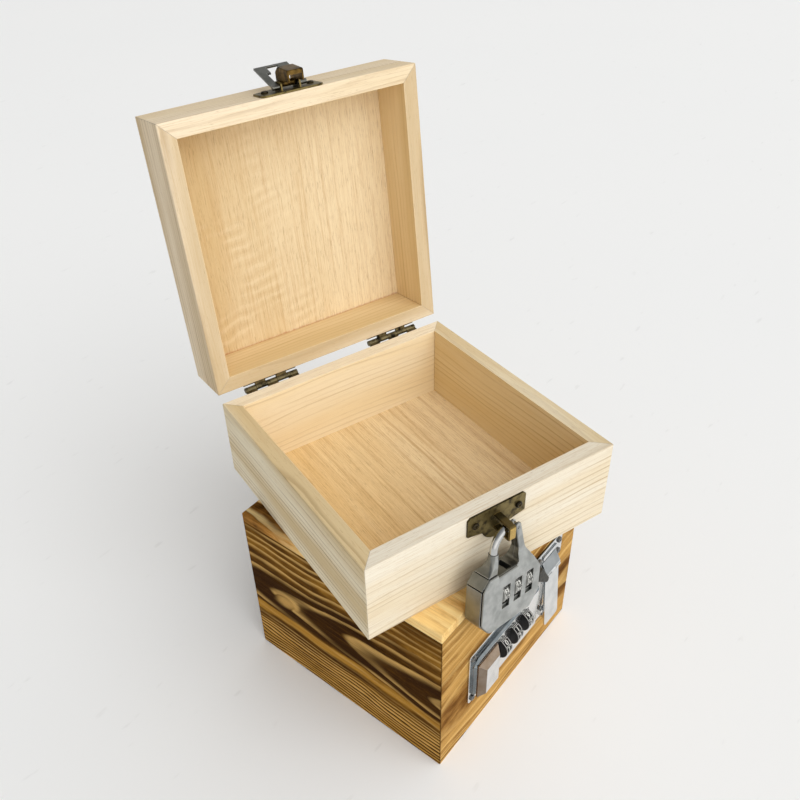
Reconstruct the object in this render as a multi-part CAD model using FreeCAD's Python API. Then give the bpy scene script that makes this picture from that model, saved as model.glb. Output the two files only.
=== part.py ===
import FreeCAD, Part
import math
import os

V = FreeCAD.Vector

# Dark lower box
DARK_SIDE = 137.0
DARK_HEIGHT = 113.0
DARK_SEAM = 70.8
DARK_WALL = 10.0
DARK_FLOOR = 5.0
DARK_TOP = 6.0

# Pale upper box
PALE_SIDE = 150.0
PALE_BASE = 48.5
PALE_LID = 31.5
PALE_WALL = 8.8
PALE_FLOOR = 3.0
PALE_PANEL = 4.0

# How the pale box stands on the dark one: its turn, the place of its front's middle, its open lid
STACK_TURN = -18.3
STACK_SIDE = -20.4894
STACK_SETBACK = 2.3631
LID_OPEN = 97.0

# Clearances
SEAM_GAP = 0.1
RUN_FIT = 0.05
SCREW_FIT = 0.03
SLIDE_FIT = 0.15
SIDE_FIT = 0.25
CURVE_GAP = 0.4
WOOD_EASE = 0.5
METAL_EASE = 0.25

# Hinges of both boxes
HINGE_SET = 3.2
HINGE_LEAF = 1.0
HINGE_TALL = 10.0
HINGE_BARREL = 1.6
HINGE_PIN = 0.8
HINGE_KNUCKLES = 5
DARK_HINGE_LONG = 30.0
DARK_HINGE_X = 35.0
PALE_HINGE_LONG = 34.0
PALE_HINGE_X = 42.0

# Wood screws
SCREW_R = 0.95
SCREW_LONG = 6.5
SCREW_HEAD_R = 1.9
SCREW_HEAD_H = 1.1

# Combination latch: x and z on the dark box's front, depth counted out of that face
LATCH_X0 = -44.0
LATCH_X1 = 48.0
LATCH_Z0 = 29.0
LATCH_Z1 = 70.0
LATCH_PLATE = 1.2
LATCH_SCREW_IN = 3.3
COVER_X0 = -42.0
COVER_X1 = 24.0
COVER_Z0 = 33.0
COVER_Z1 = 65.0
COVER_FACE = 3.6
COVER_CORNER = 4.0
COVER_BEVEL = 1.2
DIAL_X = -3.0
DIAL_PITCH = 11.6
DIAL_Z = 51.5
DIAL_R = 7.4
DIAL_WIDE = 6.0
DIAL_STAND = 0.6
DIAL_AXLE = 1.2
DIAL_NOTCHES = 10
EAR_THICK = 1.2
BUTTON_X0 = -40.5
BUTTON_X1 = -21.8
BUTTON_Z0 = 35.0
BUTTON_Z1 = 62.0
BUTTON_TOP = 8.0
BUTTON_TAPER = 3.2
BUTTON_TRAVEL = 3.2
BOLT_Z = 40.0
BOLT_TALL = 4.0
BOLT_THICK = 1.2
BOLT_TIP = 25.6
BOLT_STEM = 3.0

# Hasp flap that closes over the latch, hung from the dark lid
FLAP_X0 = 27.5
FLAP_X1 = 42.5
FLAP_Z0 = 29.5
FLAP_OUT = 3.2
FLAP_THICK = 1.2
FLAP_AJAR = 4.5
FLAP_LUG = 1.5
FLAP_LUG_TALL = 8.0
HASP_X0 = 20.0
HASP_X1 = 50.0
HASP_Z0 = 71.2
HASP_Z1 = 88.0
HASP_PLATE = 1.2
HASP_AXIS_Z = 70.2
HASP_AXIS_OUT = 3.4
HASP_BARREL = 2.2
HASP_PIN = 1.0
HASP_RIDGE = 0.8
HASP_SLOPE_Z = 79.5
STRIKE_X0 = 29.6
STRIKE_X1 = 41.0

# Staple and clasp of the pale box
FITTING_X = -1.0
FITTING_PLATE = 1.0
STAPLE_HALF = 17.6
STAPLE_WING = 12.0
STAPLE_LOBE = 8.5
STAPLE_DROP = 20.3
STAPLE_SCREW = 13.1
STAPLE_SCREW_DROP = 6.3
LOOP_WIDE = 3.8
LOOP_THICK = 1.1
LOOP_REACH = 10.6
LOOP_Z0 = 35.6
LOOP_Z1 = 42.4
CLASP_X = 0.1
CLASP_HALF = 17.8
CLASP_WING = 12.0
CLASP_LOBE = 8.0
CLASP_RISE = 16.4
CLASP_SCREW = 13.3
CLASP_SCREW_RISE = 7.5
CLASP_EAR_IN = 4.9
CLASP_EAR = 0.8
LEVER_OUT = 3.5
LEVER_RISE = 8.5
LEVER_HALF = 4.6
LEVER_NEAR = -4.1
LEVER_CREST = 12.2
LEVER_THICK = 0.9
LEVER_BARREL = 1.7
CLASP_PIN = 0.8
LINK_OUT = 3.0
LINK_RISE = 5.1
LINK_LEAN = 21.5
LINK_LONG = 20.7
LINK_LEGS = 13.3
LINK_BAR = 1.3
LINK_HALF = 9.8
LINK_SLOT = 6.7
LINK_THICK = 1.0

# Padlock, in its own frame: x to the right, front towards -y, z up, origin at the top of the bow
LOCK_AT_X = 0.5
LOCK_AT_OUT = 8.0
LOCK_AT_Z = 39.5
LOCK_TURN = 10.0
LOCK_ROLL = 9.21
LOCK_TILT = -6.65
BOW_R = 9.6
BOW_X = -0.8
BOW_TUBE = 2.0
BOW_TENON = 1.5
BOW_TENON_LONG = 3.2
BOW_RING = 1.2
NECK_TUBE = 2.4
NECK_ANGLE = 58.0
TONGUE = 2.0
LOCK_PIN = 0.8
CASE_HALF = 5.5
CASE_SPLIT = -4.2
CASE_GROOVE = 0.8
CASE_GROOVE_DEEP = 1.5
CASE_LEFT = -22.5
CASE_RIGHT = 21.8
CASE_BOTTOM = -53.0
CASE_LEDGE = -21.4
CASE_SEAT = -19.8
CASE_SHOULDER = -24.6
CASE_EASE = 0.9
FOOT_GAP = 0.7
FOOT_LEFT = -18.2
FOOT_RIGHT = -11.6
FOOT_HALF = 4.5
WHEEL_R = 5.1
WHEEL_WIDE = 3.9
WHEEL_PITCH = 9.0
WHEEL_X = 4.7
WHEEL_Z = -35.5
WHEEL_Y = -1.0
WHEEL_AXLE = 0.9
WINDOW_WIDE = 5.5
WINDOW_TALL = 13.4
WINDOW_SHIFT = -0.6
KNOB_OUT = 9.4
KNOB_TOP = -34.6
KNOB_BOTTOM = -46.4
KNOB_Y = -2.0
KNOB_HALF = 3.2
KNOB_TRAVEL = 3.0
KNOB_STEM = 3.0

# Derived positions
DARK_HALF = DARK_SIDE / 2
PALE_HALF = PALE_SIDE / 2
DARK_FRONT = -DARK_HALF
PALE_FRONT = -PALE_HALF
PALE_TOP = PALE_BASE + PALE_LID
LEVER_Z = PALE_BASE + LEVER_RISE
LINK_Z = PALE_BASE + LINK_RISE
STACK_X = STACK_SIDE - PALE_HALF * math.sin(math.radians(STACK_TURN))
STACK_Y = DARK_FRONT + STACK_SETBACK + PALE_HALF * math.cos(math.radians(STACK_TURN))
DIAL_CENTRES = [DIAL_X + DIAL_PITCH * step for step in (-1, 0, 1)]
WHEEL_CENTRES = [WHEEL_X + WHEEL_PITCH * step for step in (-1, 0, 1)]
BOW_CENTRE_Z = -BOW_R
PIVOT_X = BOW_X + BOW_R * math.cos(math.radians(NECK_ANGLE))
PIVOT_Z = BOW_CENTRE_Z + BOW_R * math.sin(math.radians(NECK_ANGLE))

# Placements: the pale box on the dark one, the open lid, the padlock on the staple
STACK = FreeCAD.Placement(V(STACK_X, STACK_Y, DARK_HEIGHT), FreeCAD.Rotation(V(0, 0, 1), STACK_TURN))
LID_AXIS = V(0, PALE_HALF + HINGE_SET, PALE_BASE)
LID_SWING = FreeCAD.Placement(V(0, 0, 0), FreeCAD.Rotation(V(1, 0, 0), -LID_OPEN), LID_AXIS)
LOCK_YAW = FreeCAD.Rotation(V(0, 0, 1), LOCK_TURN)
LOCK_LEAN = FreeCAD.Rotation(V(0, 1, 0), LOCK_ROLL)
LOCK_SWAY = FreeCAD.Rotation(V(1, 0, 0), LOCK_TILT)
LOCK_POSE = LOCK_YAW.multiply(LOCK_LEAN).multiply(LOCK_SWAY)
LOCK = FreeCAD.Placement(V(LOCK_AT_X, PALE_FRONT - LOCK_AT_OUT, LOCK_AT_Z), LOCK_POSE)

nodes = {}


def block(x0, x1, y0, y1, z0, z1):
    """Box between two corners."""
    return Part.makeBox(x1 - x0, y1 - y0, z1 - z0, V(x0, y0, z0))


def rod(radius, start, end):
    """Round bar between two points."""
    along = end - start
    return Part.makeCylinder(radius, along.Length, start, along)


def prism(points, along):
    """Straight-sided outline pushed along a direction."""
    wire = Part.makePolygon(points + points[:1])
    return Part.Face(wire).extrude(along)


def rounded(corners, lift, along):
    """Outline of (a, b, radius) corners, each rounded, lifted into space and pushed along a direction."""
    marks = []
    count = len(corners)
    for index, (a, b, radius) in enumerate(corners):
        here = V(a, b, 0)
        before = corners[index - 1]
        after = corners[(index + 1) % count]
        back = V(before[0], before[1], 0) - here
        ahead = V(after[0], after[1], 0) - here
        back.normalize()
        ahead.normalize()
        if radius == 0:
            marks.append((here, None, here))
            continue
        half = back.getAngle(ahead) / 2
        middle = back + ahead
        middle.normalize()
        crown = here + middle * (radius / math.sin(half) - radius)
        reach = radius / math.tan(half)
        marks.append((here + back * reach, crown, here + ahead * reach))
    edges = []
    for index, (start, crown, end) in enumerate(marks):
        if crown is not None:
            edges.append(Part.Arc(lift(start), lift(crown), lift(end)).toShape())
        following = marks[(index + 1) % count][0]
        if (following - end).Length > 1e-6:
            edges.append(Part.makeLine(lift(end), lift(following)))
    return Part.Face(Part.Wire(edges)).extrude(along)


def fused(shapes):
    """One solid from touching pieces."""
    return shapes[0].multiFuse(shapes[1:]).removeSplitter()


def eased(shape, radius, pick):
    """Round the edges that the pick function accepts."""
    chosen = [edge for edge in shape.Edges if pick(edge.BoundBox)]
    return shape.makeFillet(radius, chosen)


def placed(shapes, placement):
    """Copies moved by a placement."""
    moved = []
    for shape in shapes:
        twin = shape.copy()
        twin.Placement = placement.multiply(twin.Placement)
        moved.append(twin)
    return moved


def keep(name, shapes, *placements):
    """Store one node, moved by each placement in turn."""
    for placement in placements:
        shapes = placed(shapes, placement)
    nodes[name] = shapes


def screw(at, out):
    """Pan-head wood screw with a cross recess; at lies under the head and out points away from the wood."""
    head = Part.makeCylinder(SCREW_HEAD_R, SCREW_HEAD_H)
    head = eased(head, SCREW_HEAD_H * 0.6, lambda box: box.ZMin > SCREW_HEAD_H / 2)
    straight = SCREW_LONG * 0.75
    shank = Part.makeCylinder(SCREW_R, straight, V(0, 0, 0), V(0, 0, -1))
    tip = Part.makeCone(SCREW_R, SCREW_R * 0.2, SCREW_LONG - straight, V(0, 0, -straight), V(0, 0, -1))
    slot = SCREW_HEAD_R * 0.15
    long = SCREW_HEAD_R * 0.55
    low = SCREW_HEAD_H * 0.45
    recess = fused([
        block(-long, long, -slot, slot, low, SCREW_HEAD_H + 1),
        block(-slot, slot, -long, long, low, SCREW_HEAD_H + 1),
    ])
    body = fused([head, shank, tip]).cut(recess)
    turn = FreeCAD.Rotation(V(0, 0, 1), out)
    return placed([body], FreeCAD.Placement(at, turn))[0]


def screw_hole(at, out):
    """Pilot for a wood screw."""
    return rod(SCREW_R + SCREW_FIT, at + out * 0.5, at - out * (SCREW_LONG + 0.5))


def mitred_boards(half, wall, z0, z1, levels):
    """Front, back, left and right board of a square mitred frame, outer edges eased at the given heights."""
    outer = block(-half, half, -half, half, z0, z1)
    outer = eased(
        outer, WOOD_EASE,
        lambda box: box.ZLength > 1e-6 or any(abs(box.ZMin - level) < 1e-6 for level in levels))
    inner = half - wall
    rise = V(0, 0, z1 - z0)
    boards = []
    for ax, ay in ((0, -1), (0, 1), (-1, 0), (1, 0)):
        side = V(ay, -ax, 0)
        face = V(ax, ay, 0)
        base = V(0, 0, z0)
        points = [
            base + face * half - side * half,
            base + face * half + side * half,
            base + face * inner + side * inner,
            base + face * inner - side * inner,
        ]
        boards.append(prism(points, rise).common(outer))
    return boards


def on_front(face, s0, s1, corners):
    """Rounded outline in x and z, standing out of a front face from s0 to s1."""
    return rounded(corners, lambda p: V(p.x, face - s0, p.y), V(0, s0 - s1, 0))


def inset(outline, amount):
    """Convex outline, listed counter-clockwise, with every side moved inwards."""
    count = len(outline)
    moved = []
    for index, (x, z) in enumerate(outline):
        before = outline[index - 1]
        after = outline[(index + 1) % count]
        back = V(x - before[0], z - before[1], 0)
        ahead = V(after[0] - x, after[1] - z, 0)
        back.normalize()
        ahead.normalize()
        normal = V(-back.y, back.x, 0)
        other = V(-ahead.y, ahead.x, 0)
        shift = (normal + other) * (amount / (1 + normal.dot(other)))
        moved.append((x + shift.x, z + shift.y))
    return moved


def tapered(face, outline, s0, s1, amount):
    """Block on a front face whose sides lean inwards from depth s0 to s1."""
    rings = []
    for corners, out in ((outline, s0), (inset(outline, amount), s1)):
        ring = [V(x, face - out, z) for x, z in corners]
        rings.append(Part.makePolygon(ring + ring[:1]))
    return Part.makeLoft(rings, True, True)


def front_block(face, x0, x1, s0, s1, z0, z1):
    """Box standing out of a front face from s0 to s1."""
    return block(x0, x1, face - s1, face - s0, z0, z1)


def side_profile(face, x0, x1, corners):
    """Rounded outline in depth and height, pushed along x."""
    return rounded(corners, lambda p: V(x0, face - p.x, p.y), V(x1 - x0, 0, 0))


def front_rod(face, radius, x0, x1, out, z):
    """Round bar along x at a depth out of a front face."""
    return rod(radius, V(x0, face - out, z), V(x1, face - out, z))


def hinge_set(centres, long, face, seam):
    """Pair of butt hinges on a back face: leaves, pins, screws, and the pilots for box and lid."""
    axis_y = face + HINGE_SET
    step = long / HINGE_KNUCKLES
    result = {"pins": [], "holes": {}}
    for side, label in ((-1, "box"), (1, "lid")):
        leaves = []
        screws = []
        holes = []
        for centre in centres:
            start = centre - long / 2
            low = HINGE_BARREL * 0.72
            edge = sorted((seam + side * low, seam + side * HINGE_TALL))
            plate = block(start, start + long, face, face + HINGE_LEAF, *edge)
            plate = eased(
                plate, METAL_EASE,
                lambda box: box.YLength < 1e-6 and box.YMin > face + HINGE_LEAF / 2)
            pieces = [plate]
            for index in range(HINGE_KNUCKLES):
                if (index % 2 == 0) != (side < 0):
                    continue
                x0 = start + index * step + SLIDE_FIT / 2
                x1 = start + (index + 1) * step - SLIDE_FIT / 2
                pieces.append(rod(HINGE_BARREL, V(x0, axis_y, seam), V(x1, axis_y, seam)))
                edge = sorted((seam, seam + side * low * 1.1))
                pieces.append(block(x0, x1, face, face + HINGE_LEAF * 0.9, *edge))
                edge = sorted((seam, seam + side * HINGE_LEAF))
                pieces.append(block(x0, x1, face, axis_y, *edge))
            leaf = fused(pieces)
            bore = rod(HINGE_PIN + RUN_FIT, V(start - 1, axis_y, seam), V(start + long + 1, axis_y, seam))
            cutters = [bore]
            for shift in (-0.3, 0.3):
                at = V(centre + shift * long, face + HINGE_LEAF, seam + side * HINGE_TALL * 0.62)
                screws.append(screw(at, V(0, 1, 0)))
                cutters.append(screw_hole(at, V(0, 1, 0)))
                holes.append(cutters[-1])
            leaves.append(leaf.cut(cutters))
        result["holes"][label] = holes
        result[label + "_leaves"] = leaves
        result[label + "_screws"] = screws
    for centre in centres:
        ends = V(centre - long / 2, axis_y, seam), V(centre + long / 2, axis_y, seam)
        result["pins"].append(rod(HINGE_PIN, *ends))
    return result


# Dark box with its lid and hinges
dark_walls = mitred_boards(DARK_HALF, DARK_WALL, 0, DARK_SEAM, (0, DARK_SEAM))
dark_rail_top = DARK_HEIGHT - DARK_TOP
dark_rail_low = DARK_SEAM + SEAM_GAP
dark_rails = mitred_boards(DARK_HALF, DARK_WALL, dark_rail_low, dark_rail_top, (dark_rail_low,))
dark_inner = DARK_HALF - DARK_WALL
dark_hinges = hinge_set((-DARK_HINGE_X, DARK_HINGE_X), DARK_HINGE_LONG, DARK_HALF, DARK_SEAM)

# Latch plate with rolled-back ears for the dial axle and a strike block under the flap
front = DARK_FRONT
dial_low = DIAL_CENTRES[0] - DIAL_WIDE / 2 - 2 * SIDE_FIT
dial_high = DIAL_CENTRES[2] + DIAL_WIDE / 2 + 2 * SIDE_FIT
dial_room = DIAL_R + CURVE_GAP
corner = 2.0
plate = on_front(front, 0, LATCH_PLATE, [
    (LATCH_X0, LATCH_Z0, corner), (LATCH_X1, LATCH_Z0, corner),
    (LATCH_X1, LATCH_Z1, corner), (LATCH_X0, LATCH_Z1, corner)])
plate = eased(plate, METAL_EASE, lambda box: box.YLength < 1e-6 and box.YMax < front - LATCH_PLATE / 2)
plate = plate.cut(front_block(front, dial_low, dial_high, -1, 9, DIAL_Z - dial_room, DIAL_Z + dial_room))
ear_tall = DIAL_AXLE * 2.2
ear_top = DIAL_STAND + DIAL_AXLE * 1.5
ears = []
ear_rooms = []
for x0 in (dial_low - EAR_THICK, dial_high):
    ears.append(front_block(
        front, x0, x0 + EAR_THICK, DIAL_STAND - ear_tall, ear_top, DIAL_Z - ear_tall, DIAL_Z + ear_tall))
    ear_rooms.append(front_block(
        front, x0 - SLIDE_FIT, x0 + EAR_THICK + SLIDE_FIT, 0, ear_top + SLIDE_FIT,
        DIAL_Z - ear_tall - SLIDE_FIT, DIAL_Z + ear_tall + SLIDE_FIT))
strike_rise = FLAP_OUT - SLIDE_FIT
strike = on_front(front, LATCH_PLATE / 2, strike_rise, [
    (STRIKE_X0, COVER_Z0, 1.0), (STRIKE_X1, COVER_Z0, 1.0),
    (STRIKE_X1, COVER_Z1, 1.0), (STRIKE_X0, COVER_Z1, 1.0)])
bolt_low = BOLT_Z - BOLT_TALL / 2
bolt_high = BOLT_Z + BOLT_TALL / 2
bolt_back = LATCH_PLATE + SLIDE_FIT
bolt_face = bolt_back + BOLT_THICK
pocket = front_block(
    front, STRIKE_X0 - 1, STRIKE_X0 + BUTTON_TRAVEL, bolt_back - SLIDE_FIT / 2, FLAP_OUT,
    bolt_low - SLIDE_FIT, bolt_high + SLIDE_FIT)
axle_ends = dial_low - EAR_THICK, dial_high + EAR_THICK
axle_hole = front_rod(front, DIAL_AXLE + SCREW_FIT, axle_ends[0] - 1, axle_ends[1] + 1, DIAL_STAND, DIAL_Z)
latch_screws = []
latch_holes = []
for x in (LATCH_X0 + LATCH_SCREW_IN, LATCH_X1 - LATCH_SCREW_IN):
    for z in (LATCH_Z0 + LATCH_SCREW_IN, LATCH_Z1 - LATCH_SCREW_IN):
        at = V(x, front - LATCH_PLATE, z)
        latch_screws.append(screw(at, V(0, -1, 0)))
        latch_holes.append(screw_hole(at, V(0, -1, 0)))
keep("latch_plate", [fused([plate, strike] + ears).cut([axle_hole, pocket] + latch_holes)])
keep("latch_plate_screws", latch_screws)
keep("latch_axle", [front_rod(front, DIAL_AXLE, axle_ends[0], axle_ends[1], DIAL_STAND, DIAL_Z)])

# Latch cover with dial windows and the channel of the bolt
cover_outline = [
    (COVER_X0 + COVER_CORNER, COVER_Z0), (COVER_X1, COVER_Z0), (COVER_X1, COVER_Z1),
    (COVER_X0 + COVER_CORNER, COVER_Z1), (COVER_X0, COVER_Z1 - COVER_CORNER),
    (COVER_X0, COVER_Z0 + COVER_CORNER)]
cover_brim = COVER_FACE - COVER_BEVEL
cover = fused([
    on_front(front, LATCH_PLATE, cover_brim, [(x, z, 0) for x, z in cover_outline]),
    tapered(front, cover_outline, cover_brim, COVER_FACE, COVER_BEVEL)])
cover = eased(cover, METAL_EASE, lambda box: box.YMax < front - COVER_FACE + 1e-6)
windows = []
for x in DIAL_CENTRES:
    wide = DIAL_WIDE / 2 + SIDE_FIT
    windows.append(front_block(front, x - wide, x + wide, 0, 9, DIAL_Z - dial_room, DIAL_Z + dial_room))
stem_x0 = (BUTTON_X0 + BUTTON_X1) / 2 - BOLT_STEM / 2 - BUTTON_TRAVEL / 2
stem_x1 = stem_x0 + BOLT_STEM
stem_half = BOLT_TALL / 2 - 0.5
bar_x0 = stem_x0 - 2
channel = front_block(
    front, bar_x0 - SLIDE_FIT, COVER_X1 + 1, LATCH_PLATE - 1, bolt_face + SLIDE_FIT,
    bolt_low - SLIDE_FIT, bolt_high + SLIDE_FIT)
stem_slot = front_block(
    front, stem_x0 - SLIDE_FIT, stem_x1 + BUTTON_TRAVEL + SLIDE_FIT, bolt_back, COVER_FACE + 1,
    BOLT_Z - stem_half - SLIDE_FIT, BOLT_Z + stem_half + SLIDE_FIT)
axle_room = front_rod(front, DIAL_AXLE + SLIDE_FIT, axle_ends[0], axle_ends[1], DIAL_STAND, DIAL_Z)
keep("latch_cover", [cover.cut(windows + ear_rooms + [axle_room, channel, stem_slot])])

# Sliding button with its bolt
cap_back = COVER_FACE + SLIDE_FIT
button_outline = [
    (BUTTON_X0, BUTTON_Z0), (BUTTON_X1, BUTTON_Z0), (BUTTON_X1, BUTTON_Z1), (BUTTON_X0, BUTTON_Z1)]
cap = tapered(front, button_outline, cap_back + 0.8, BUTTON_TOP, BUTTON_TAPER)
cap = eased(cap, 0.5, lambda box: box.YMax < front - cap_back - 1)
cap_foot = front_block(front, BUTTON_X0, BUTTON_X1, cap_back, cap_back + 0.8, BUTTON_Z0, BUTTON_Z1)
stem = front_block(front, stem_x0, stem_x1, bolt_back, cap_back + 0.4, BOLT_Z - stem_half, BOLT_Z + stem_half)
bar = front_block(front, bar_x0, BOLT_TIP, bolt_back, bolt_face, bolt_low, bolt_high)
keep("latch_button", [fused([cap, cap_foot, stem, bar])])

# Latch dials
for number, x in enumerate(DIAL_CENTRES, 1):
    dial = front_rod(front, DIAL_R, x - DIAL_WIDE / 2, x + DIAL_WIDE / 2, DIAL_STAND, DIAL_Z)
    dial = dial.makeFillet(0.3, [edge for edge in dial.Edges if edge.BoundBox.XLength < 1e-6])
    notches = [front_rod(front, DIAL_AXLE + RUN_FIT, x - DIAL_WIDE, x + DIAL_WIDE, DIAL_STAND, DIAL_Z)]
    for index in range(DIAL_NOTCHES):
        angle = 2 * math.pi * (index + 0.5) / DIAL_NOTCHES
        out = DIAL_STAND + (DIAL_R + 0.1) * math.cos(angle)
        z = DIAL_Z + (DIAL_R + 0.1) * math.sin(angle)
        notches.append(front_rod(front, 0.45, x - DIAL_WIDE, x + DIAL_WIDE, out, z))
    keep("latch_dial_%d" % number, [dial.cut(notches)])

# Hasp plate with its knuckles on the dark lid
third = (FLAP_X1 - FLAP_X0) / 3
hasp_plate = on_front(front, 0, HASP_PLATE, [
    (HASP_X0, HASP_Z0, 1.5), (HASP_X1, HASP_Z0, 1.5), (HASP_X1, HASP_Z1, 1.5), (HASP_X0, HASP_Z1, 1.5)])
hasp_plate = eased(
    hasp_plate, METAL_EASE, lambda box: box.YLength < 1e-6 and box.YMax < front - HASP_PLATE / 2)
ridge = on_front(front, HASP_PLATE / 2, HASP_PLATE + HASP_RIDGE, [
    (FLAP_X0, HASP_SLOPE_Z + 2, 0.8), (FLAP_X1, HASP_SLOPE_Z + 2, 0.8),
    (FLAP_X1, HASP_SLOPE_Z + 5, 0.8), (FLAP_X0, HASP_SLOPE_Z + 5, 0.8)])
ridge = eased(ridge, 0.4, lambda box: box.YLength < 1e-6 and box.YMax < front - HASP_PLATE)
slope_top = HASP_AXIS_OUT + HASP_BARREL - 0.4
slope = side_profile(front, FLAP_X0, FLAP_X1, [
    (HASP_PLATE / 2, HASP_AXIS_Z + 1, 0), (slope_top, HASP_AXIS_Z + 1, 0),
    (slope_top, HASP_AXIS_Z + 2.2, 1.0), (HASP_PLATE + 0.4, HASP_SLOPE_Z, 0),
    (HASP_PLATE / 2, HASP_SLOPE_Z, 0)])
eye_x0 = FLAP_X0 + third + SLIDE_FIT / 2
eye_x1 = FLAP_X1 - third - SLIDE_FIT
eye_room = front_rod(
    front, HASP_BARREL + CURVE_GAP, eye_x0 - SLIDE_FIT, eye_x1 + SLIDE_FIT, HASP_AXIS_OUT, HASP_AXIS_Z)
hasp_pieces = [hasp_plate, ridge, slope.cut(eye_room)]
for x0, x1 in ((FLAP_X0, FLAP_X0 + third), (FLAP_X1 - third, FLAP_X1)):
    hasp_pieces.append(front_rod(front, HASP_BARREL, x0, x1 - SLIDE_FIT / 2, HASP_AXIS_OUT, HASP_AXIS_Z))
    hasp_pieces.append(front_block(
        front, x0, x1 - SLIDE_FIT / 2, 0, HASP_AXIS_OUT, HASP_AXIS_Z, HASP_Z0 + HASP_PLATE))
hasp_bore = front_rod(front, HASP_PIN + RUN_FIT, HASP_X0, HASP_X1, HASP_AXIS_OUT, HASP_AXIS_Z)
hasp_screws = []
hasp_holes = []
for x in (HASP_X0 + 4, HASP_X1 - 4):
    at = V(x, front - HASP_PLATE, HASP_Z1 - 4)
    hasp_screws.append(screw(at, V(0, -1, 0)))
    hasp_holes.append(screw_hole(at, V(0, -1, 0)))
    at = V(x, front - HASP_PLATE, HASP_Z0 + 4)
    hasp_screws.append(screw(at, V(0, -1, 0)))
    hasp_holes.append(screw_hole(at, V(0, -1, 0)))
keep("hasp_plate", [fused(hasp_pieces).cut([hasp_bore] + hasp_holes)])
keep("hasp_screws", hasp_screws)
keep("hasp_pin", [front_rod(front, HASP_PIN, FLAP_X0, FLAP_X1, HASP_AXIS_OUT, HASP_AXIS_Z)])

# Hasp flap with its lug for the bolt
flap_top = HASP_AXIS_Z - HASP_BARREL - CURVE_GAP
flap = on_front(front, FLAP_OUT, FLAP_OUT + FLAP_THICK, [
    (FLAP_X0, FLAP_Z0, 2.0), (FLAP_X1, FLAP_Z0, 2.0), (FLAP_X1, flap_top, 0.5), (FLAP_X0, flap_top, 0.5)])
flap = eased(
    flap, METAL_EASE, lambda box: box.YLength < 1e-6 and box.YMax < front - FLAP_OUT - FLAP_THICK / 2)
eye = front_rod(front, HASP_BARREL, eye_x0, eye_x1, HASP_AXIS_OUT, HASP_AXIS_Z)
strap = front_block(
    front, eye_x0, eye_x1, FLAP_OUT, FLAP_OUT + FLAP_THICK, flap_top - 1, HASP_AXIS_Z)
lug = front_block(
    front, FLAP_X0, FLAP_X0 + FLAP_LUG, LATCH_PLATE + SLIDE_FIT, FLAP_OUT + FLAP_THICK / 2,
    BOLT_Z - FLAP_LUG_TALL / 2, BOLT_Z + FLAP_LUG_TALL / 2)
lug_hole = front_block(
    front, FLAP_X0 - 1, FLAP_X0 + FLAP_LUG + 1, LATCH_PLATE, bolt_face + SLIDE_FIT,
    bolt_low - SLIDE_FIT, bolt_high + SLIDE_FIT)
flap_axis = V(0, front - HASP_AXIS_OUT, HASP_AXIS_Z)
flap_swing = FreeCAD.Placement(V(0, 0, 0), FreeCAD.Rotation(V(-1, 0, 0), FLAP_AJAR), flap_axis)
keep("hasp_flap", [fused([flap, strap, eye, lug]).cut([hasp_bore, lug_hole])], flap_swing)

# Dark boards, cut for the latch, the hasp and the hinges
mortise = front_block(
    front, dial_low - EAR_THICK - SIDE_FIT, dial_high + EAR_THICK + SIDE_FIT,
    DIAL_STAND - dial_room, 1, DIAL_Z - dial_room, DIAL_Z + dial_room)
keep("dark_front_wall", [dark_walls[0].cut([mortise] + latch_holes)])
keep("dark_back_wall", [dark_walls[1].cut(dark_hinges["holes"]["box"])])
keep("dark_left_wall", [dark_walls[2]])
keep("dark_right_wall", [dark_walls[3]])
keep("dark_floor", [block(-dark_inner, dark_inner, -dark_inner, dark_inner, 0, DARK_FLOOR)])
keep("dark_hinge_box_leaves", dark_hinges["box_leaves"])
keep("dark_hinge_pins", dark_hinges["pins"])
keep("dark_hinge_box_screws", dark_hinges["box_screws"])
keep("dark_lid_front_rail", [dark_rails[0].cut(hasp_holes)])
keep("dark_lid_back_rail", [dark_rails[1].cut(dark_hinges["holes"]["lid"])])
keep("dark_lid_left_rail", [dark_rails[2]])
keep("dark_lid_right_rail", [dark_rails[3]])
dark_panel = block(-DARK_HALF, DARK_HALF, -DARK_HALF, DARK_HALF, dark_rail_top, DARK_HEIGHT)
dark_panel = eased(dark_panel, WOOD_EASE, lambda box: box.ZLength > 1e-6 or box.ZMin > dark_rail_top + 1e-6)
keep("dark_lid_panel", [dark_panel])
keep("dark_hinge_lid_leaves", dark_hinges["lid_leaves"])
keep("dark_hinge_lid_screws", dark_hinges["lid_screws"])

# Staple plate with its square loop, on the pale box's front
front = PALE_FRONT
staple_top = PALE_BASE - SEAM_GAP
wing = staple_top - STAPLE_WING
staple = on_front(front, 0, FITTING_PLATE, [
    (FITTING_X - STAPLE_HALF + 1.6, staple_top, 0.4), (FITTING_X - STAPLE_HALF, staple_top - 1.6, 0.4),
    (FITTING_X - STAPLE_HALF, wing, 0.6), (FITTING_X - STAPLE_LOBE, wing - 1.9, 0.4),
    (FITTING_X + STAPLE_LOBE, wing - 1.9, 0.4), (FITTING_X + STAPLE_HALF, wing, 0.6),
    (FITTING_X + STAPLE_HALF, staple_top - 1.6, 0.4), (FITTING_X + STAPLE_HALF - 1.6, staple_top, 0.4)])
lobe_z = staple_top - STAPLE_DROP + STAPLE_LOBE
lobe = rod(STAPLE_LOBE, V(FITTING_X, front, lobe_z), V(FITTING_X, front - FITTING_PLATE, lobe_z))
staple = fused([staple, lobe])
staple = eased(staple, METAL_EASE, lambda box: box.YLength < 1e-6 and box.YMax < front - FITTING_PLATE / 2)
loop_out = FITTING_PLATE + LOOP_REACH
loop_half = LOOP_WIDE / 2
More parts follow.
